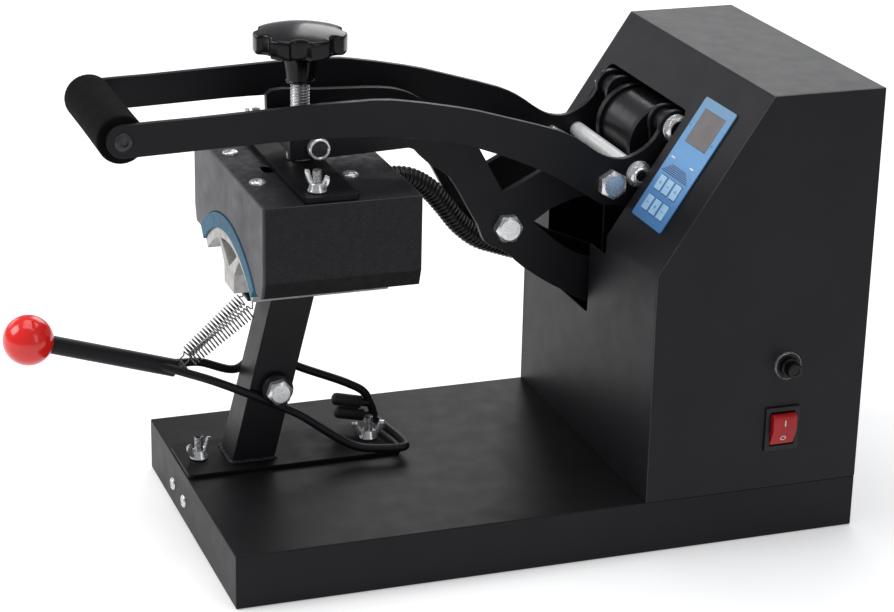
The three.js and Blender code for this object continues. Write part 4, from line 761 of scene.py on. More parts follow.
ROCKER_FACE_X, RIDGE_DEPTH, RIDGE_ROLL = 125.5, 3, 2.9


def rounded_ridge(shape):
    """Rolls the rocker's raised top edge over, wider than its others."""
    top = max(v.co.z for v in shape.verts)
    ridge = [e for e in shape.edges
             if all(v.co.x > ROCKER_FACE_X * MM and v.co.z > top - RIDGE_DEPTH * MM for v in e.verts)]
    bmesh.ops.bevel(shape, geom=ridge, offset=RIDGE_ROLL * MM, segments=6, affect="EDGES", profile=0.5)


skin("rocker", red_plastic, segments=3, extra=rounded_ridge)
for number in range(1, 7):
    skin(f"key_{number}", key_film, 0.25)


# Round bars, bolts and nuts. Distances are from the arm's middle plane

ARM_OUTER, HANDLE_INNER, HANDLE_OUTER = 31, 53.5, 58.5
POST_HALF, EYE_WIDE = 15, 6.4
EYE_INNER = POST_HALF + GAP
STUB_WASHER, STUB_WASHER_HEIGHT = HANDLE_OUTER + GAP, 1.5
HUB_BARREL = ((0, 0), (0, 25.4), (0.6, 26), (49.4, 26), (50, 25.4), (50, 0))
PIN_RING = ((-6, 0), (-6, 5), (0, 5), (0, 7), (0.6, 7.6), (5.2, 7.6), (6, 6.9), (6, 6.1), (5.4, 5.5), (4, 5.3),
            (3.6, 0))
PIN_CORE = ((3, 0), (3, 5.6), (4.6, 5.6), (5, 5.1), (5, 0))
# Heads: across flats and height; nuts also have their bolt's radius
BIG_HEAD, LEVER_HEAD = (18, 7.5), (16, 6.4)
HANDLE_NUT, STUB_NUT, ROD_NUT = (18, 7, 5), (17, 5.4, 6), (14, 5, 3.9)
FIRST_WASHER, SECOND_WASHER, WASHER_PITCH, NUT_PLACE = (9.4, 1.0), (8.6, 0.9), 1.05, 2
part_piece("arm_hub_tube", [laid(turned(HUB_BARREL, 96), "X", low_end("arm_hub"))], hub_paint, "arm_hub")


def both_heads(node, head, inner, radius, turn=0.0):
    """A through bolt with a hexagon head on each side."""
    spot = middle(node)
    parts = [laid(pin(radius, 2 * inner), "X", off(-1, inner, spot))]
    for side in (1, -1):
        parts.append(beside(hex_head(*head), side, inner, spot, turn))
    part_piece(f"{node}_smooth", parts, zinc, node, 20)


both_heads("arm_tie_bolt", BIG_HEAD, ARM_OUTER, 6)
both_heads("lever_bolt", LEVER_HEAD, EYE_INNER + EYE_WIDE + GAP, 4.7, 0.2)

for side, word in SIDES:
    node = f"handle_bolt_{word}"
    spot = middle(node)
    part_piece(f"{node}_smooth", [
        beside(hex_head(*BIG_HEAD), side, HANDLE_OUTER, spot, TAU / 12),
        beside(pin(5, 12), side, HANDLE_INNER - 6.5, spot),
        laid(hex_nut(*HANDLE_NUT, nylon=False), "-X" if side > 0 else "X", off(side, HANDLE_INNER, spot), TAU / 12)],
        zinc, node, 20)
    node = f"handle_stub_{word}"
    spot = middle(node)
    part_piece(f"{node}_smooth", [
        beside(washer(10, STUB_WASHER_HEIGHT), side, STUB_WASHER, spot),
        beside(hex_nut(*STUB_NUT, nylon=False), side, STUB_WASHER + STUB_WASHER_HEIGHT, spot, 0.15)],
        zinc, node, 20)
    part_of(f"{node}_sleeve", [
        beside(pin(6, 26.3), side, 36, spot), beside(pin(9, 13.2), side, 40, spot),
        beside(pin(5.9, 5), side, STUB_WASHER + 1, spot)], arm_paint, node)
    node = f"clamp_pin_{word}"
    spot = middle(node)
    part_piece(f"{node}_smooth", [beside(turned(PIN_RING, 72), side, ARM_OUTER, spot)], zinc, node)
    part_of(f"{node}_core", [beside(turned(PIN_CORE), side, ARM_OUTER, spot)], dark_steel, node)

spot = middle("cross_rod")
nuts, ends = [], []
for side in (1, -1):
    nuts += [beside(washer(*FIRST_WASHER), side, HANDLE_OUTER, spot),
             beside(washer(*SECOND_WASHER), side, HANDLE_OUTER + WASHER_PITCH, spot),
             beside(hex_nut(*ROD_NUT), side, HANDLE_OUTER + NUT_PLACE, spot, 0.25)]
    ends.append(beside(pin(3.9, 3.6, 0.4), side, HANDLE_OUTER + NUT_PLACE - 0.1, spot))
part_piece("cross_rod_smooth", [laid(plain_bar(5.8, 2 * HANDLE_OUTER, 64), "X", off(-1, HANDLE_OUTER, spot))],
           rod_zinc, "cross_rod")
part_of("cross_rod_nuts", nuts, zinc, "cross_rod")
part_of("cross_rod_ends", ends, dark_steel, "cross_rod")


# Wing nuts with their rounded ears

WING_HUB = ((0, 3.4), (0, 6.1), (0.5, 6.5), (1.2, 6.3), (2.4, 5.4), (5.2, 4.9), (6, 4.3), (6, 3.4))
EAR_SPINE = ((3.4, 0, 2.4), (6.2, 0, 4.6), (8.4, 0, 7.6), (9.6, 0, 10.6), (9.9, 0, 12.6))
EAR_HALF_WIDTHS = (2.1, 2.5, 2.6, 2.6, 1.9)
EAR_HALF_DEPTHS = (1.3, 1.25, 1.15, 1.2, 0.7)
EAR_STEPS, EAR_SIDES = 4, 16


def wing_ear():
    """One bent ear with a rounded section and end."""
    spine = smooth_line(EAR_SPINE, EAR_STEPS)
    rings = []
    for i, p in enumerate(spine):
        ahead = (spine[min(i + 1, len(spine) - 1)] - spine[max(i - 1, 0)]).normalized()
        across = Vector((ahead.z, 0, -ahead.x)) * np.interp(i / EAR_STEPS, range(len(EAR_SPINE)), EAR_HALF_WIDTHS)
        deep = Vector((0, 1, 0)) * np.interp(i / EAR_STEPS, range(len(EAR_SPINE)), EAR_HALF_DEPTHS)
        rings.append([p + across * math.cos(k * TAU / EAR_SIDES) + deep * math.sin(k * TAU / EAR_SIDES)
                      for k in range(EAR_SIDES)])
    return lofted(rings, caps=True)


for node, degrees in (("wing_nut_front", 122), ("wing_nut_rear", 80),
                      ("head_wing_left", 25), ("head_wing_right", 25)):
    foot = middle(node)
    foot.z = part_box(node)[0].z
    parts = [laid(turned(WING_HUB, hollow=True), "Z", foot)]
    parts += [laid(wing_ear(), "Z", foot, math.radians(degrees + half)) for half in (0, 180)]
    part_piece(f"{node}_smooth", parts, zinc, node, 45)


# Threads on the studs

STUD_RADIUS, STUD_PITCH = 2.75, 1.0
for name, body, foot, length in (
    ("base_stud_thread_front", "press_base", at(ARM_X, 15, 42), 15.5),
    ("base_stud_thread_rear", "press_base", at(ARM_X, 140, 42), 15.5),
    ("head_stud_thread_left", "heat_head", at(ARM_X - 75, 78.5, 256.5), 13.5),
    ("head_stud_thread_right", "heat_head", at(ARM_X + 75, 78.5, 256.5), 13.5),
):
    ridge = coil_between(foot, foot + UP * length * MM, length / STUD_PITCH, STUD_RADIUS, STUD_PITCH * 0.3, zinc, 28)
    new_piece(name, mesh_from(name, [ridge]), zinc, body, 60)


# Pressure screw and knob

SCREW_PROFILE = ((0, 0), (0, 9.5), (2, 9.5), (2, 5), (6.6, 5), (6.6, 8.9), (7.1, 9.5), (10.2, 9.5), (10.6, 9.1),
                 (10.6, 6.1), (87.6, 6.1), (87.6, 0))
THREAD_FOOT, THREAD_TOP, THREAD_TURNS = 12, 62.5, 25
screw_foot = middle("knob")
screw_foot.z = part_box("pressure_screw")[0].z
part_piece("pressure_screw_threaded", [
    laid(turned(SCREW_PROFILE, 64), "Z", screw_foot),
    coil_between(screw_foot + UP * THREAD_FOOT * MM, screw_foot + UP * THREAD_TOP * MM, THREAD_TURNS, 6.15, 0.62,
                 screw_steel, 32)], screw_steel, "pressure_screw", 50)

# The knob's heights are above KNOB_FOOT_Z
KNOB_LOBES, KNOB_RADIUS, KNOB_TURN, KNOB_SIDES = 7, 32, math.radians(9.3), 280
SCALLOP_PLACE, SCALLOP_RADIUS = 36.4, 9
KNOB_FOOT_Z, HUB_FOOT, WEB, DOME_TOP, DOME_FALL, DOME_RADIUS = 251.5, 58, 80.05, 97.6, 4.4, 30
HUB_PROFILE = ((HUB_FOOT, 9), (58.3, 9.8), (59.6, 10), (60.2, 9.6), (66, 10.6), (74, 12.4), (78.4, 13.8), (79.6, 15))


def knob_reach(angle):
    """Radius of the knob's outline: a round rim with seven hollow scallops."""
    pitch = TAU / KNOB_LOBES
    away = (angle - KNOB_TURN) % pitch - pitch / 2
    cut = SCALLOP_RADIUS ** 2 - (SCALLOP_PLACE * math.sin(away)) ** 2
    if cut <= 0:
        return KNOB_RADIUS
    return min(KNOB_RADIUS, SCALLOP_PLACE * math.cos(away) - math.sqrt(cut))


def knob_part():
    """The knob about Z: lipped hub cone, scalloped wall and smooth domed top."""
    rings = [[(0, 0, HUB_FOOT)]]

    def add_ring(height, inset=0.0, share=1.0, radius=None, domed=False):
        ring = []
        for k in range(KNOB_SIDES):
            angle = k * TAU / KNOB_SIDES
            reach = radius or (knob_reach(angle) - inset) * share
            dome = DOME_TOP - DOME_FALL * (reach / DOME_RADIUS) ** 2 if domed else 0
            ring.append((reach * math.cos(angle), reach * math.sin(angle), dome + height))
        rings.append(ring)

    for height, radius in HUB_PROFILE:
        add_ring(height, radius=radius)
    for share in (0.62, 0.8, 0.93):
        add_ring(WEB, share=share)
    for height, inset in ((80.1, 1.0), (80.4, 0.35), (81.1, 0.02), (84.5, 0.0), (88.5, 0.0)):
        add_ring(height, inset)
    for drop, inset in ((1.9, 0.03), (1.0, 0.2), (0.4, 0.6), (0.08, 1.15)):
        add_ring(-drop, inset, domed=True)
    for share in (0.92, 0.84, 0.72, 0.56, 0.38, 0.2, 0.06):
        add_ring(0, share=share, domed=True)
    return lofted(rings + [[(0, 0, DOME_TOP)]])


knob_foot = Vector((screw_foot.x, screw_foot.y, KNOB_FOOT_Z * MM))
part_piece("knob_smooth", [laid(knob_part(), "Z", knob_foot)], black_gloss, "knob", 40)


# Brim lever. Shares are of its spread across, its reach back, and its rise or fall from the pivot

LEVER_Y, LEVER_Z, LEVER_REACH, LEVER_SPREAD, BALL_RISE, LEVER_FALL = 67, 94.5, 169, 18.6, 48, 48.1
ROD_RADIUS, BAR_RADIUS, SPRING_BAR_HALF, FINGER_LENGTH = 3, 6.3, 9.67, 27.4
RIGHT_ROD_SHARES = (
    (0.1881, -0.4675, 0.4271), (0.52, -0.3728, 0.33), (0.8495, -0.2781, 0.2292), (1.0004, -0.1479, 0.0208),
    (0.9895, -0.0296, -0.1975), (1.0213, 0.0237, -0.2972), (1.2093, 0.0828, -0.3949), (1.5319, 0.2604, -0.8316),
    (1.6936, 0.3373, -0.9564))
LEFT_ROD_SHARES = (
    (-0.1881, -0.4675, 0.4271), (-0.52, -0.3728, 0.33), (-0.8332, -0.2781, 0.2605), (-1.0004, -0.1183, 0.0627),
    (-1.0004, -0.0414, 0.2271), (-1.0004, 0.0355, 0.2436), (-1.0485, 0.142, 0.0106), (-1.1021, 0.3787, -0.3847),
    (-1.1021, 0.4497, -0.5509), (-1.1021, 0.4822, -0.7796))
LEG_SHARES = ((1.8817, 0.4793, -1), (1.8281, 0.5296, -1), (1.3974, 0.5373, -1), (-1.1021, 0.5, -1))
SPRING_BAR_SHARE, BAR_END_SHARE = (0, -0.3728, 0.33), 0.405
FINGER_SHARES = (((-1.1021, 0.4828, -0.7484), (-1.1021, 0.3254, -0.6152)),
                 ((-1.1021, 0.4947, -0.9564), (-1.1021, 0.3195, -0.819)))


def lever_point(share):
    x, y, z = share
    return at(ARM_X + x * LEVER_SPREAD, LEVER_Y + y * LEVER_REACH, LEVER_Z + z * (LEVER_FALL if z < 0 else BALL_RISE))


right_rod, left_rod, leg = ([lever_point(s) for s in row] for row in (RIGHT_ROD_SHARES, LEFT_ROD_SHARES, LEG_SHARES))
spring_bar = lever_point(SPRING_BAR_SHARE)
ball_middle = at(ARM_X, LEVER_Y - LEVER_REACH, LEVER_Z + BALL_RISE)
bar_end = lever_point((0, -BAR_END_SHARE, BAR_END_SHARE)) - UP * 3 * MM
bar_way = (bar_end - ball_middle).normalized()
bar_line = [ball_middle + bar_way * 8.5 * MM] + [bar_end - bar_way * back * MM for back in (4, 1.2, 0)]
half_bar = Vector((SPRING_BAR_HALF * MM, 0, 0))
lever_parts = [tube(bar_line, BAR_RADIUS, 32), tube(smooth_line(right_rod + leg, 10), ROD_RADIUS),
               tube(smooth_line(left_rod + leg[-1:], 10), ROD_RADIUS),
               tube([spring_bar - half_bar, spring_bar + half_bar], ROD_RADIUS)]
EYE_PROFILE = ((0, 5.05), (0, 10.6), (0.4, 11), (6, 11), (EYE_WIDE, 10.6), (EYE_WIDE, 5.05))
for side, near in ((1, EYE_INNER), (-1, EYE_INNER + EYE_WIDE)):
    lever_parts.append(laid(turned(EYE_PROFILE, 64, hollow=True), "X", off(side, near, at(0, LEVER_Y, LEVER_Z))))
SLEEVE_PROFILE = ((19.2, 0), (19.2, 3.12), (0, 3.12), (0, 4.3), (0.3, 4.6), (18.6, 4.6), (20.4, 4.1), (21.5, 2.9),
                  (21.9, 1.4), (22, 0))
SLEEVE_PLACE = 8.5
for shares, word in zip(FINGER_SHARES, ("upper", "lower")):
    root, tip = (lever_point(s) for s in shares)
    way = (tip - root).normalized()
    lever_parts.append(tube([root, root + way * FINGER_LENGTH * MM], ROD_RADIUS))
    node = f"lever_sleeve_{word}"
    part_piece(f"{node}_smooth", [aimed(turned(SLEEVE_PROFILE, 40), way, root + way * SLEEVE_PLACE * MM)],
               sleeve_rubber, node, 60)
part_piece("lever_frame_smooth", lever_parts, arm_paint, "lever_frame", 50)

BALL_RADIUS, BALL_STEPS, NECK_HEIGHT = 17.35, 40, 15.5
ball_profile = [(9.5, 0), (9.5, 6.5), (15.2, 6.5), (15.6, 7.2)]
for step in range(BALL_STEPS):
    angle = math.pi * step / BALL_STEPS
    if BALL_RADIUS * math.cos(angle) < NECK_HEIGHT:
        ball_profile.append((BALL_RADIUS * math.cos(angle), BALL_RADIUS * math.sin(angle)))
ball_profile.append((-BALL_RADIUS, 0))
part_piece("lever_ball_smooth", [aimed(turned(ball_profile, 80), bar_way, ball_middle)], red_gloss, "lever_ball", 50)


# Brim springs: wound wire with a hook at each end

SPRING_TOP_Z, SPRING_TOP_Y, SPRING_TOP_SIDE, SPRING_FOOT_SIDE = 159.7, 51.128, 12.5, 5.5
SPRING_TAIL, SPRING_LEAD, COIL_RADIUS, COIL_TURNS, WIRE_RADIUS = 7, 6, 4.5, 21, 0.5
HOOK_RADIUS, HOOK_STEPS, HOOK_SHIFT = 3.6, 22, 0.9
for side, word in SIDES:
    bar = spring_bar + Vector((side * SPRING_FOOT_SIDE * MM, 0, 0))
    foot = bar + UP * 4 * MM
    hung = at(ARM_X + side * SPRING_TOP_SIDE, SPRING_TOP_Y, SPRING_TOP_Z)
    crown = hung - UP * SPRING_TAIL * MM
    way = (crown - foot).normalized()
    start, stop = foot + way * SPRING_LEAD * MM, crown - way * MM
    out = facing(way) @ Vector((COIL_RADIUS * MM, 0, 0))
    hook = []
    for step in range(HOOK_STEPS + 1):
        share = step / HOOK_STEPS
        angle = math.radians(112 + 250 * share)
        hook.append(bar + Vector((side * HOOK_SHIFT * share, HOOK_RADIUS * math.cos(angle),
                                  HOOK_RADIUS * math.sin(angle))) * MM)
    lead = [start + out, start + out * 0.55 - way * MM, start - way * 2.6 * MM + out * 0.1]
    tail = [stop + out, stop + out * 0.5 + way * 1.2 * MM, crown + UP * 1.5 * MM, hung]
    name = f"brim_spring_{word}_wound"
    mesh = mesh_from(name, [coil_between(start, stop, COIL_TURNS, COIL_RADIUS, WIRE_RADIUS, spring_steel, 20),
                            tube(smooth_line(lead, 6)[:-1] + hook, WIRE_RADIUS, 10),
                            tube(smooth_line(tail, 6), WIRE_RADIUS, 10)])
    coil = new_piece(name, mesh, spring_steel, None, 60)
    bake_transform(coil)
    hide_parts(f"brim_spring_{word}")


# Grip

FOAM_RADIUS, FOAM_WAIST, FOAM_STEPS = 16.3, 0.22, 24
foam_end = [(0, 7.6), (0, 14.9), (0.5, 15.9), (1.6, FOAM_RADIUS)]
foam_low, foam_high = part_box("grip_foam")
foam_length = (foam_high.x - foam_low.x) / MM
foam_profile = foam_end + [
    (1.6 + (foam_length - 3.2) * step / FOAM_STEPS, FOAM_RADIUS - FOAM_WAIST * math.sin(math.pi * step / FOAM_STEPS))
    for step in range(1, FOAM_STEPS)] + [(foam_length - height, radius) for height, radius in foam_end[::-1]]
grip = part_piece("grip_foam_sleeve", [laid(turned(foam_profile, 96, hollow=True), "X", low_end("grip_foam"))],
                  grip_foam_skin, "grip_foam", 60)

spot = middle("grip_rod")
part_piece("grip_rod_smooth", [laid(plain_bar(7, 2 * HANDLE_INNER), "X", off(-1, HANDLE_INNER, spot))],
           zinc, "grip_rod")
BUTTON_PROFILE = ((0, 0), (0, 6.4), (0.6, 6.3), (1.3, 5.6), (1.8, 4.4), (2, 2.8), (2, 2.6), (1.1, 2.4), (1.1, 0))
buttons = []
for side in (1, -1):
    buttons += [beside(pin(4.5, 5.1), side, HANDLE_INNER - 0.1, spot),
                beside(turned(BUTTON_PROFILE), side, HANDLE_OUTER, spot)]
part_of("grip_end_buttons", buttons, dark_steel, "grip_rod", 40)


# Conduit: one ribbed tube in two lengths that meet at a rib

PIVOT_Y, PIVOT_Z, ARM_REACH = 349, 253.4708, 260.5
CONDUIT_X = ARM_X - 8
# Back and up from the arm's pivot, as shares of its reach
CONDUIT_SHARES = (
    (-0.69, -0.083), (-0.63, -0.118), (-0.585, -0.168), (-0.54, -0.225), (-0.485, -0.27), (-0.42, -0.296),
    (-0.34, -0.325), (-0.25, -0.37), (-0.17, -0.44), (-0.1, -0.53), (-0.045, -0.63), (-0.018, -0.72))
CONDUIT_EXIT, CONDUIT_END = 233.5, 42.6
RIB_SPACING, RIB_RADIUS, RIB_THICKNESS, WALL_RADIUS = 3.1, 6.9, 1.08, 6.65
# The rib at which the two lengths meet
MEETING_RIB = 20
route = [(144.5, CONDUIT_EXIT), (151, CONDUIT_EXIT), (PIVOT_Y - 0.75 * ARM_REACH, CONDUIT_EXIT)]
route += [(PIVOT_Y + y * ARM_REACH, PIVOT_Z + z * ARM_REACH) for y, z in CONDUIT_SHARES]
route.append((PIVOT_Y - 0.018 * ARM_REACH, CONDUIT_END))
line = smooth_line([at(CONDUIT_X, y, z) for y, z in route], 14)
walked = [0.0]
for a, b in zip(line, line[1:]):
    walked.append(walked[-1] + (b - a).length)


def spot_at(length):
    """The point of the conduit's line at a length along it."""
    k = max(1, min(len(walked) - 1, int(np.searchsorted(walked, length))))
    share = (length - walked[k - 1]) / max(walked[k] - walked[k - 1], 1e-12)
    return line[k - 1].lerp(line[k], share)


meeting = MEETING_RIB * RIB_SPACING * MM
for name, begin, end, bodies, turn_from, turn_to in (
    ("conduit_at_head", 0.0, meeting, ("heat_head", "press_arm"), line[0], at(CONDUIT_X, 203, 222)),
    ("conduit_to_base", meeting, walked[-1], ("press_arm", "press_base"),
     at(CONDUIT_X, 262, 170), at(CONDUIT_X, 343, 96)),
):
    stretch = [spot_at(begin)] + [p for p, w in zip(line, walked) if begin < w < end] + [spot_at(end)]
    mesh = grown(curve_holder(stretch), ribbed, **{
        "Rib Spacing": RIB_SPACING * MM, "Rib Radius": RIB_RADIUS * MM, "Rib Thickness": RIB_THICKNESS * MM,
        "Wall Radius": WALL_RADIUS * MM, "Finish": corrugated_plastic})
    hose = new_piece(name, mesh, corrugated_plastic, None, 60)
    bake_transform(hose)
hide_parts("conduit")


# Fuse holder and its cap

HOLDER_PROFILE = ((-34, 0), (-34, 5.9), (-33.5, 6.4), (0, 6.4), (0, 9.2), (0.5, 9.6), (2.3, 9.6), (3, 8.8), (3, 7.4),
                  (2.2, 7.2), (2.2, 3.7), (-31, 3.7), (-31, 0))
FLANGE_PROFILE = ((0, 8.9), (0, 9.65), (2.2, 9.65), (2.45, 9.5), (2.45, 8.9))
CAP_PROFILE = ((3.3, 0), (3.3, 6.4), (3.7, 7.05), (6, 7.05), (6.4, 6.6), (6.6, 5.6), (12.4, 5.5), (13.1, 4.9),
               (13.3, 4.1), (13.3, 2.9), (12.7, 2.7), (12.7, 0))
CAP_RIDGES, RIDGE_HEIGHT = 24, 0.28


def ridged(angle, radius):
    """Fine grip ridges on the cap's two straight walls."""
    on_wall = 6.9 < radius < 7.11 or 5.0 < radius <= 5.6
    return radius - (RIDGE_HEIGHT * (0.5 + 0.5 * math.cos(CAP_RIDGES * angle)) if on_wall else 0)


fuse_spot = at(120, 390.6, 128.4)
part_piece("fuse_holder_smooth", [laid(turned(HOLDER_PROFILE, 64), "X", fuse_spot)], black_plastic, "fuse_holder")
part_piece("fuse_cap_smooth", [laid(turned(CAP_PROFILE, 144, ridged), "X", fuse_spot)], black_gloss, "fuse_cap", 40)
part_of("fuse_flange_ring", [laid(turned(FLANGE_PROFILE, 72, hollow=True), "X", fuse_spot)], zinc, "fuse_holder", 40)


# Small screws and the weld

def screw_form(radius, height, slot_wide):
    """A pan head with a cross recess, up along Z."""
    profile = [(0, 0)] + [(height * rise, radius * reach) for rise, reach in (
        (0, 1), (0.3, 0.99), (0.62, 0.88), (0.86, 0.66), (0.97, 0.42), (1, 0.3), (1, 0))]
    form = placed("screw_form", mesh_from("screw_form", [laid(turned(profile), "Z", Vector())]))
    recess = box_part(-radius * 0.62, radius * 0.62, -slot_wide / 2, slot_wide / 2, height * 0.45, height * 1.3)
    arms = []
    for turn in (0, TAU / 4):
        arms.append(placed("recess", mesh_from("recess", [laid(recess, "Z", Vector(), turn)])))
        cut = form.modifiers.new("recess", "BOOLEAN")
        cut.object, cut.operation, cut.solver = arms[-1], "DIFFERENCE", "EXACT"
    done = evaluated(form)
    for arm in arms:
        bpy.data.objects.remove(arm)
    return done


def screws(name, body, spots, way, radius, height, slot_wide, seed):
    """A row of the same screw on points, all facing one way."""
    form = placed("screw_form_turned", screw_form(radius, height, slot_wide))
    turn = facing(Vector(way))
    local = bpy.data.meshes.new("spots")
    local.from_pydata([tuple(turn.inverted() @ p) for p in spots], [], [])
    mesh = grown(placed("spot_holder", local), screw_row, Screw=form, Seed=seed, Finish=zinc)
    for vertex in mesh.vertices:
        vertex.co = turn @ vertex.co
    bpy.data.objects.remove(form)
    new_piece(name, mesh, zinc, body, 35)


screws("cover_screws", "heat_head", [at(ARM_X + side, depth, 251.5) for side in (-35, 35) for depth in (49, 114)],
       (0, 0, 1), 5.8, 2.5, 1.3, 4)
screws("base_front_screws", "press_base", [at(ARM_X + side, 0, 16.3) for side in (-15.5, 15.5)],
       (0, -1, 0), 4.6, 2.2, 1.1, 2)

WELD_HALF, WELD_FRONT, WELD_BACK, WELD_Z, DROP_SPACING, DROP_RADIUS = 15.3, 35.2, 66, 41.2, 1.7, 2.3
corners = [at(ARM_X + side * WELD_HALF, depth, WELD_Z) for side, depth in (
    (-1, WELD_FRONT), (1, WELD_FRONT), (1, WELD_BACK), (-1, WELD_BACK), (-1, WELD_FRONT))]
mesh = grown(curve_holder(corners), weld_row, **{
    "Drop Spacing": DROP_SPACING * MM, "Drop Radius": DROP_RADIUS * MM, "Seed": 5, "Finish": weld_steel})
new_piece("post_foot_weld", mesh, weld_steel, "press_base", 80)


# Slope of the housing: prints on the fascia and marks on the keys

SLOPE, SLOPE_FOOT_Y, SLOPE_FOOT_Z = math.atan2(118, 78), 290, 202.47
FASCIA_TOP, KEY_HALF, PRINT_DEPTH, SIGN_DEPTH = 1.3, 0.5, 0.05, 0.04
SIGN_LONG, SIGN_WIDE = 3.4, 0.8
STRIPE_MIDDLE, STRIPE_FOOT, STRIPE_PITCH, STRIPE_HIGH, STRIPE_HALF, STRIPE_LESS, STRIPE_SLANT = \
    68.3, 59.8, 1.25, 0.55, 20.7, 1.85, 0.7


def on_slope(x, along, above):
    """A point in metres on the sloping front: across, up the slope from its foot, and above its face."""
    return at(x, SLOPE_FOOT_Y + along * math.cos(SLOPE) - above * math.sin(SLOPE),
              SLOPE_FOOT_Z + along * math.sin(SLOPE) + above * math.cos(SLOPE))


def slope_place(spot):
    """Across, up the slope and above its face, of a point in metres."""
    back, rise = spot.y / MM + BASE_DEPTH / 2 - SLOPE_FOOT_Y, spot.z / MM - SLOPE_FOOT_Z
    return (spot.x / MM, back * math.cos(SLOPE) + rise * math.sin(SLOPE),
            rise * math.cos(SLOPE) - back * math.sin(SLOPE))


def slope_plate(x, along, low_half, top_half, high, above=FASCIA_TOP, depth=PRINT_DEPTH):
    """A thin print with straight foot and top, each given by its half width."""
    top = along + high
    corners = [(x - low_half, along), (x + low_half, along), (x + top_half, top), (x - top_half, top)]
    return lofted([[on_slope(*corner, above + rise) for corner in corners] for rise in (0, depth)], caps=True)


def bar_mark(x, along, wide, high, *heights):
    return slope_plate(x, along - high / 2, wide / 2, wide / 2, high, *heights)


def slope_piece(name, parts, material, body="press_base"):
    new_piece(name, mesh_from(name, parts), material, body, 30)


stripes = [bar_mark(47.9, 96, 1.6, 0.6), bar_mark(88.2, 91, 2.4, 0.6)]
for step in range(6):
    half, foot = STRIPE_HALF - step * STRIPE_LESS, STRIPE_FOOT + step * STRIPE_PITCH
    stripes.append(slope_plate(STRIPE_MIDDLE, foot, half, half - STRIPE_SLANT, STRIPE_HIGH))
slope_piece("fascia_stripes", stripes, print_dark)
slope_piece("fascia_marks", [bar_mark(x, 71, 5.5, 1.1) for x in (52.5, 82.3)], print_white)
for number in range(1, 7):
    x, along, lift = slope_place(middle(f"key_{number}"))
    sign = [bar_mark(x, along, SIGN_LONG, SIGN_WIDE, lift + KEY_HALF, SIGN_DEPTH)]
    if number % 2:
        sign.append(bar_mark(x, along, SIGN_WIDE, SIGN_LONG, lift + KEY_HALF, SIGN_DEPTH))
    slope_piece(f"key_sign_{number}", sign, print_soft, f"button_{number}")


# Off and on marks of the rocker

ROCKER_Y, ROCKER_LEAN = 389.4, math.radians(24)
line_mark = box_part(0, PRINT_DEPTH, -0.45, 0.45, -2.2, 2.2)
ring_mark = turned(((0, 1.45), (0, 2.15), (PRINT_DEPTH, 2.15), (PRINT_DEPTH, 1.45)), 40, hollow=True)
face_way = Vector((math.cos(ROCKER_LEAN), 0, -math.sin(ROCKER_LEAN)))
new_piece("rocker_marks", mesh_from("rocker_marks", [
    laid(line_mark, "Z", at(126.4, ROCKER_Y, 87.4)), aimed(ring_mark, face_way, at(124.05, ROCKER_Y, 75.8))]),
    print_white, "power_rocker", 30)


# Floor, light and camera, all placed in metres

def floor_finish():
    """Pale studio floor: white to the camera and in reflections, while it keeps the object's shadow."""
    made = bpy.data.materials.new("studio_floor")
    made.use_nodes = True
    tree = made.node_tree
    tree.nodes.clear()
    matte = tree_node(tree, "ShaderNodeBsdfDiffuse", Color=(0.82, 0.82, 0.83, 1))
    bright = tree_node(tree, "ShaderNodeBsdfDiffuse", Color=(0.9, 0.9, 0.9, 1))
    glow = tree_node(tree, "ShaderNodeEmission", Strength=0.32)
    both = tree_node(tree, "ShaderNodeAddShader", [(0, bright.outputs[0]), (1, glow.outputs[0])])
    rays = tree_node(tree, "ShaderNodeLightPath").outputs
    seen = tree_node(tree, "ShaderNodeMath", [(0, rays["Is Camera Ray"]), (1, rays["Is Glossy Ray"])],
                     operation="MAXIMUM")
    pick = tree_node(tree, "ShaderNodeMixShader", [(0, seen.outputs[0]), (1, matte.outputs[0]), (2, both.outputs[0])])
    tree_node(tree, "ShaderNodeOutputMaterial", [(0, pick.outputs[0])])
    return made


FLOOR_HALF, FLOOR_DROP = 14, -0.0004
floor_mesh = bpy.data.meshes.new("floor")
floor_corners = [(x * FLOOR_HALF, y * FLOOR_HALF, FLOOR_DROP) for x, y in ((-1, -1), (1, -1), (1, 1), (-1, 1))]
floor_mesh.from_pydata(floor_corners, [], [(0, 1, 2, 3)])
floor_mesh.materials.append(floor_finish())
placed("floor", floor_mesh)

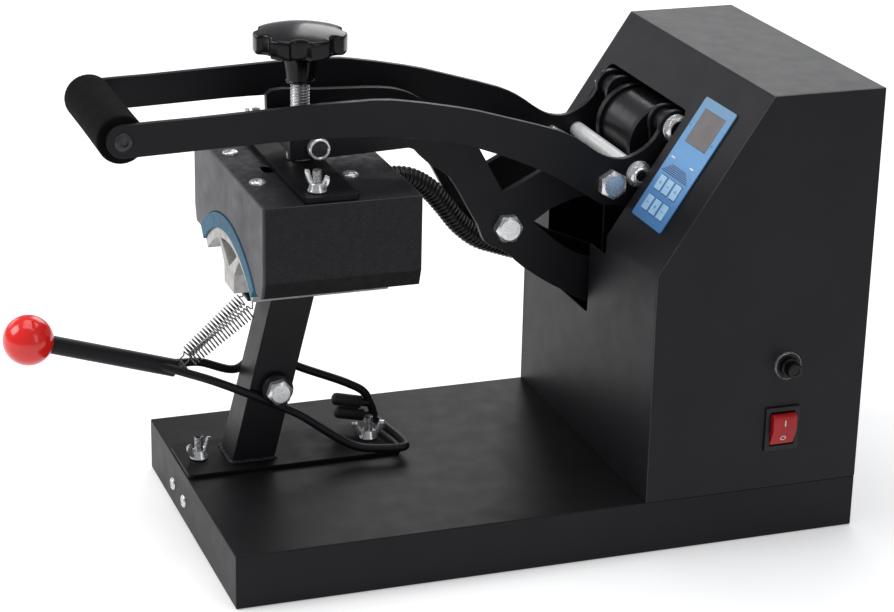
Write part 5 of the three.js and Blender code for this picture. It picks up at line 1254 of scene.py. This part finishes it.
world = bpy.data.worlds.new("studio")
bpy.context.scene.world = world
world.use_nodes = True
sky = world.node_tree
sky.nodes.clear()
soft = tree_node(sky, "ShaderNodeBackground", Color=(0.93, 0.95, 1, 1), Strength=0.32)
white = tree_node(sky, "ShaderNodeBackground", Color=(1, 1, 1, 1), Strength=1)
rays = tree_node(sky, "ShaderNodeLightPath").outputs
choose = tree_node(sky, "ShaderNodeMixShader",
                   [(0, rays["Is Camera Ray"]), (1, soft.outputs[0]), (2, white.outputs[0])])
tree_node(sky, "ShaderNodeOutputWorld", [(0, choose.outputs[0])])

# Each lamp: name, place, target, width, height and watts
for name, place, target, wide, high, power in (
    ("key_softbox", (-0.6, -2.2, 1.8), (0, 0, 0.15), 1.4, 1.4, 34),
    ("top_softbox", (-0.2, 0.1, 2.4), (0, 0, 0.1), 2.0, 2.0, 26),
    ("side_strip", (2.2, 0.9, 1.2), (0, 0, 0.15), 0.7, 1.6, 5),
    ("left_card", (-2.5, -1.2, 1.05), (0, 0.1, 0.25), 1.3, 0.8, 4.5),
    ("back_softbox", (-1.9, 1.0, 1.3), (0, 0, 0.2), 1.2, 1.2, 11),
):
    data = bpy.data.lights.new(name, "AREA")
    data.shape = "RECTANGLE"
    data.size, data.size_y, data.energy = wide, high, power
    lamp = placed(name, data)
    lamp.location = place
    lamp.rotation_euler = (Vector(target) - Vector(place)).to_track_quat("-Z", "Y").to_euler()

IMAGE_WIDTH, FOCAL_PIXELS, SENSOR = 894, 2554.0, 36
CAMERA_PLACE = 1.5713, -0.60825, 0.77206
camera_data = bpy.data.cameras.new("camera")
camera_data.sensor_width = SENSOR
camera_data.lens = FOCAL_PIXELS / IMAGE_WIDTH * SENSOR
camera_data.clip_start, camera_data.clip_end = 0.05, 60
camera = placed("camera", camera_data)
azimuth, elevation, roll = math.radians(70.109), math.radians(20.422), math.radians(1.282)
back = Vector((math.sin(azimuth) * math.cos(elevation), -math.cos(azimuth) * math.cos(elevation),
               math.sin(elevation)))
right = (-back).cross(UP).normalized()
up = right.cross(-back)
right, up = right * math.cos(roll) + up * math.sin(roll), up * math.cos(roll) - right * math.sin(roll)
camera.matrix_world = Matrix((*((right[i], up[i], back[i], CAMERA_PLACE[i]) for i in range(3)), (0, 0, 0, 1)))
bpy.context.scene.camera = camera
bpy.context.scene.view_settings.view_transform = "Standard"
